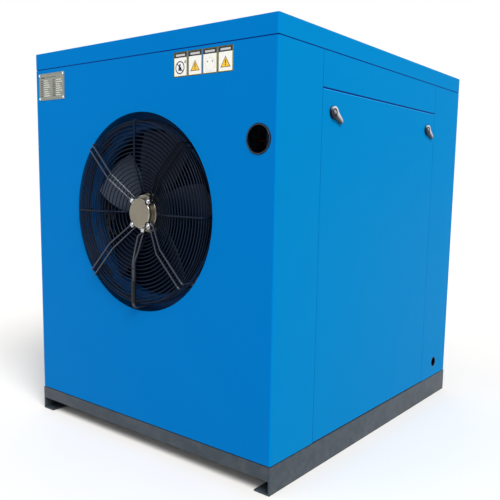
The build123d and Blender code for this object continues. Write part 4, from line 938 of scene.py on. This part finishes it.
def tube_along(bm, path, radius, sides=12):
    """Round bar through the points of a path."""
    previous, across = None, None
    for i, point in enumerate(path):
        ahead = (path[min(i + 1, len(path) - 1)] - path[max(i - 1, 0)]).normalized()
        across = ahead.orthogonal() if across is None else across - ahead * across.dot(ahead)
        across = across.normalized()
        over = ahead.cross(across)
        ring = [
            bm.verts.new(point + radius * (math.cos(a) * across + math.sin(a) * over))
            for a in (math.tau * k / sides for k in range(sides))
        ]
        join_rings(bm, previous, ring)
        previous = ring
    bm.faces.new(previous)


GUARD_WIRE = 0.0016
GUARD_SPOKE = 0.00275
GUARD_CONE_R = 0.150
GUARD_FACE = -0.018
CONE_SLOPE = 34.3 / 92.0
FACE_RINGS = [0.066 + 0.01155 * i for i in range(18)]
RIM_RING_R = 0.2712
RIM_DEPTHS = (-0.013, -0.003, 0.007, 0.017)
BASE_RING_R, BASE_RING_WIRE, BASE_RING_DEPTH = 0.276, 0.0031, 0.027
RING_BEHIND = 0.0036
SPOKE_START, SPOKE_RIM, SPOKE_BEND, SPOKE_END_DEPTH = 0.064, 0.2749, 0.006, 0.036
QUARTERS = (0, 90, 180, 270)
CAP_RIM_R, CAP_RIM_DEPTH, CAP_RIM_WIRE = 0.0434, 0.0002, 0.0010
FLANGE_RIM_R, FLANGE_RIM_DEPTH = 0.0537, 0.0181


def guard_depth(radius):
    return GUARD_FACE + max(0.0, GUARD_CONE_R - radius) * CONE_SLOPE


def fan_point(radius, angle, depth):
    turn = math.radians(angle)
    return (FAN_X + radius * math.cos(turn), FRONT_Y + depth, FAN_Z + radius * math.sin(turn))


def add_guard():
    """Smooth round wires in place of the facetted rings."""
    def wires(bm):
        for radius in FACE_RINGS:
            torus(bm, radius, GUARD_WIRE, FRONT_Y + guard_depth(radius) + RING_BEHIND, 180, 12)
        for depth in RIM_DEPTHS:
            torus(bm, RIM_RING_R, GUARD_WIRE, FRONT_Y + depth, 200, 12)
        torus(bm, BASE_RING_R, BASE_RING_WIRE, FRONT_Y + BASE_RING_DEPTH, 200, 12)
        for angle in QUARTERS:
            points = [
                fan_point(SPOKE_START, angle, guard_depth(SPOKE_START)),
                fan_point(GUARD_CONE_R, angle, GUARD_FACE),
                fan_point(SPOKE_RIM, angle, GUARD_FACE),
                fan_point(SPOKE_RIM, angle, SPOKE_END_DEPTH),
            ]
            tube_along(bm, rounded_path(points, (SPOKE_BEND, SPOKE_BEND)), GUARD_SPOKE, 16)

    guard = piece("guard_wires", wires, M["guard_wire_black"], smooth=True)
    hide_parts("fan_guard")

    # Painted highlight: thin bright zinc rings on the motor cap's rim and flange stand in for the light they
    # catch.
    def rims(bm):
        for middle in QUARTERS:
            turns = range(middle - 34, middle + 35, 4)
            arc = [Vector(fan_point(CAP_RIM_R, turn, CAP_RIM_DEPTH)) for turn in turns]
            tube_along(bm, arc, CAP_RIM_WIRE, 10)
        torus(bm, FLANGE_RIM_R, CAP_RIM_WIRE, FRONT_Y + FLANGE_RIM_DEPTH, 140, 10)

    piece("motor_cap_rim_highlights", rims, M["zinc_bright"], smooth=True)


def torus(bm, radius, wire, y, steps=160, sides=10):
    """Round ring about the fan axis."""
    rings = []
    for i in range(steps):
        a = math.tau * i / steps
        ring = []
        for k in range(sides):
            b = math.tau * k / sides
            r = radius + wire * math.cos(b)
            place = (FAN_X + r * math.cos(a), y + wire * math.sin(b), FAN_Z + r * math.sin(a))
            ring.append(bm.verts.new(place))
        rings.append(ring)
    for i in range(steps):
        one, two = rings[i], rings[(i + 1) % steps]
        for k in range(sides):
            bm.faces.new((one[k], one[(k + 1) % sides], two[(k + 1) % sides], two[k]))


# ------------------------------------------------------------------ seams, painted shade and highlights, latch gaskets and ties
DOOR_FACE = 0.5200
DOOR_SHADE_X, DOOR_SHADE_Z, DOOR_SHADE_TRIM = (0.5180, 0.5202), (-0.0022, 0.0020), 0.001
DOOR_BEAD_X, DOOR_BEAD_Z, DOOR_BEAD_TRIM = (-0.0010, 0.0003), (-0.0042, -0.0022), 0.004


def add_door_bead():
    """Painted highlight on the folded top edge of the door, where it catches the light, under painted shade
    in the seam gap.
    """
    low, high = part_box("access_door")

    def strip(name, xs, zs, trim, material):
        ys = (low.y + trim, high.y - trim)
        zs = [high.z + z for z in zs]
        piece(name, lambda bm: block(bm, xs, ys, zs), material, body="access_door")

    # Painted shade: a dark navy strip fills the seam gap above the door.
    dark = coated("seam_shade_navy", (0.0, 0.012, 0.130, 1.0), (0.4, 0.5), tone=0.05, gloss=0.05)
    strip("door_seam_shade", DOOR_SHADE_X, DOOR_SHADE_Z, DOOR_SHADE_TRIM, dark)
    # Painted highlight: a paler blue strip on the door's top edge stands in for the light it catches.
    pale = coated("edge_highlight_blue", (0.01, 0.30, 0.68, 1.0), (0.34, 0.44), tone=0.02, gloss=0.05)
    bead_xs = [DOOR_FACE + x for x in DOOR_BEAD_X]
    strip("door_top_highlight", bead_xs, DOOR_BEAD_Z, DOOR_BEAD_TRIM, pale)


RECESS_SHADE_RADII, RECESS_SHADE_X = (0.0078, 0.0119), (-0.0012, -0.0003)
GASKET_RADII, GASKET_X = (0.0163, 0.0184), (0.5201, 0.5217)
RING_STEPS = 48


def flat_ring(bm, y, radii, xs):
    """Flat ring round a latch axis, between two X values."""
    inner, outer = radii
    for i in range(RING_STEPS):
        a0, a1 = math.tau * i / RING_STEPS, math.tau * (i + 1) / RING_STEPS
        quad = [(inner, a0), (outer, a0), (outer, a1), (inner, a1)]
        near, far = (
            [bm.verts.new((x, y + r * math.cos(a), LATCH_Z + r * math.sin(a))) for r, a in quad]
            for x in xs
        )
        bm.faces.new(near)
        bm.faces.new(far)
        for k in range(4):
            after = (k + 1) % 4
            bm.faces.new((near[k], near[after], far[after], far[k]))


def add_latch_shades_and_gaskets():
    """Painted shade: a dark ring in the recess round each key insert, for the shade there; and a dark gasket
    behind the head.
    """
    # Painted shade: the ring in each key recess is dark for the shade there.
    shade_xs = [LATCH_FACE_X + x for x in RECESS_SHADE_X]
    for side, y in LATCHES:
        for name, body, radii, xs in (
            ("latch_recess_shade", f"latch_{side}", RECESS_SHADE_RADII, shade_xs),
            ("latch_gasket", "access_door", GASKET_RADII, GASKET_X),
        ):
            piece(
                f"{name}_{side}", lambda bm: flat_ring(bm, y, radii, xs), M["rubber_black"],
                body=body,
            )


LID_HALF_X, LID_HALF_Y, LID_CORNER = 0.520, 0.590, 0.008
SEAM_INSET, SEAM_DEPTH, SEAM_LAP = 0.0006, 0.0006, 0.0002


def add_lid_seam():
    """Painted shade: a dark blue strip in the gap under the lid, just behind the faces, for the shade in the
    seam.
    """
    lid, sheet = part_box("lid"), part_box("front_panel")
    zs = (sheet[1].z - SEAM_LAP, lid[0].z + SEAM_LAP)
    # Painted shade: this dark blue stands in for the shade inside the lid seam.
    blue = coated("seam_shade_blue", (0.0, 0.012, 0.17, 1.0), (0.4, 0.5), tone=0.03, gloss=0.05)

    def layer(side, half):
        outer = half - SEAM_INSET
        return sorted((side * outer, side * (outer - SEAM_DEPTH)))

    def strips(bm):
        for side in (-1, 1):
            block(bm, layer(side, LID_HALF_X), (LID_CORNER - LID_HALF_Y, LID_HALF_Y - LID_CORNER), zs)
            block(bm, (LID_CORNER - LID_HALF_X, LID_HALF_X - LID_CORNER), layer(side, LID_HALF_Y), zs)

    piece("lid_seam_shade", strips, blue)


PORT_RIM_R, PORT_RIM_WIRE, PORT_RIM_OUT, PORT_RIM_STEPS = 0.0368, 0.0008, 0.0001, 90


def add_port_rim():
    """Painted highlight: a paler, glossy thin ring on the inner edge of the front port ring, for the light
    it catches.
    """
    low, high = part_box("port_grommet")
    cx, cz = (low.x + high.x) / 2, (low.z + high.z) / 2
    # Painted highlight: paler glossy rubber for the thin ring on the port's inner edge.
    rim = rubbery("rim_highlight_rubber", srgb(50, 58, 72), (0.14, 0.22), 900.0, 0.00003, gloss=0.6)

    def ring(bm):
        points = []
        for i in range(PORT_RIM_STEPS + 1):
            a = math.tau * i / PORT_RIM_STEPS
            x, z = cx + PORT_RIM_R * math.cos(a), cz + PORT_RIM_R * math.sin(a)
            points.append(Vector((x, low.y - PORT_RIM_OUT, z)))
        tube_along(bm, points, PORT_RIM_WIRE, 8)

    piece("port_rim_highlight", ring, rim, smooth=True)


LIP_R, LIP_WIRE, LIP_DEPTH = 0.3002, 0.0011, 0.0008
TIE_RADII, TIE_DEPTH, TIE_HALF = (0.165, 0.196), -0.0225, (0.0088, 0.0055)
TIE_WIRE, TIE_STEPS = 0.0011, 10


def add_front_details():
    """Rolled lip of the opening, and the ties that hold the motor cable to the lower guard wire."""
    def lip(bm):
        torus(bm, LIP_R, LIP_WIRE, FRONT_Y + LIP_DEPTH)

    piece("opening_lip", lip, M["cabinet_blue"], smooth=True)

    def tie_point(radius, turn):
        a = math.tau * turn / TIE_STEPS
        wide, deep = TIE_HALF
        return FAN_X + wide * math.cos(a), FRONT_Y + TIE_DEPTH + deep * math.sin(a), FAN_Z - radius

    def ties(bm):
        for radius in TIE_RADII:
            for turn in range(TIE_STEPS):
                rod_between(bm, tie_point(radius, turn), tie_point(radius, turn + 1), TIE_WIRE, 8)

    piece("cable_ties", ties, M["rubber_black"], smooth=True)


# ------------------------------------------------------------------ stage and light
FLOOR_HALF, FLOOR_Z = 30.0, -0.0005
AMBIENT = 0.45
WHITE = (1.0, 1.0, 1.0, 1.0)
KEY = ((0.62, -0.33, 0.71), 3.0, 30)
FILL = ((-0.45, -0.65, 0.6), 0.3, 60)


def add_stage():
    """Pale floor just under the base."""
    mesh = bpy.data.meshes.new("floor")
    corners = [(x * FLOOR_HALF, y * FLOOR_HALF, 0) for x, y in ((-1, -1), (1, -1), (1, 1), (-1, 1))]
    mesh.from_pydata(corners, [], [(0, 1, 2, 3)])
    g = Graph("floor_pale")
    g.feed(Base_Color=g.ramp(g.noise(3.0), [(0.2, (0.925, 0.91, 0.885)), (0.8, (0.945, 0.93, 0.905))]))
    g.set(Roughness=0.75)
    mesh.materials.append(g.material)
    ground = bpy.data.objects.new("floor", mesh)
    ground.location.z = FLOOR_Z
    SCENE.collection.objects.link(ground)


def sun(name, towards, strength, spread):
    """Soft directional light that comes from the given direction."""
    data = bpy.data.lights.new(name, "SUN")
    data.energy = strength
    data.angle = math.radians(spread)
    lamp = bpy.data.objects.new(name, data)
    lamp.rotation_euler = Vector(towards).to_track_quat("Z", "Y").to_euler()
    SCENE.collection.objects.link(lamp)


def add_light():
    """White backdrop with a dimmer ambient, a broad key from the right and above, and a weak fill."""
    world = bpy.data.worlds.new("studio")
    world.use_nodes = True
    tree = world.node_tree
    seen, ambient = tree.nodes["Background"], tree.nodes.new("ShaderNodeBackground")
    for backdrop, strength in ((seen, 1.0), (ambient, AMBIENT)):
        backdrop.inputs["Color"].default_value = WHITE
        backdrop.inputs["Strength"].default_value = strength
    path = tree.nodes.new("ShaderNodeLightPath")
    both = tree.nodes.new("ShaderNodeMixShader")
    tree.links.new(path.outputs["Is Camera Ray"], both.inputs["Fac"])
    tree.links.new(ambient.outputs["Background"], both.inputs[1])
    tree.links.new(seen.outputs["Background"], both.inputs[2])
    tree.links.new(both.outputs["Shader"], tree.nodes["World Output"].inputs["Surface"])
    SCENE.world = world
    sun("key", *KEY)
    sun("fill", *FILL)


add_camera()
add_stage()
add_light()
dress_nodes()
ease_edges()
add_coil()
add_nameplate()
add_stickers()
add_gauges()
add_controller()
add_panel_screws()
add_louvres()
add_front_details()
add_door_bead()
add_lid_seam()
add_port_rim()
add_latch_shades_and_gaskets()
add_guard()
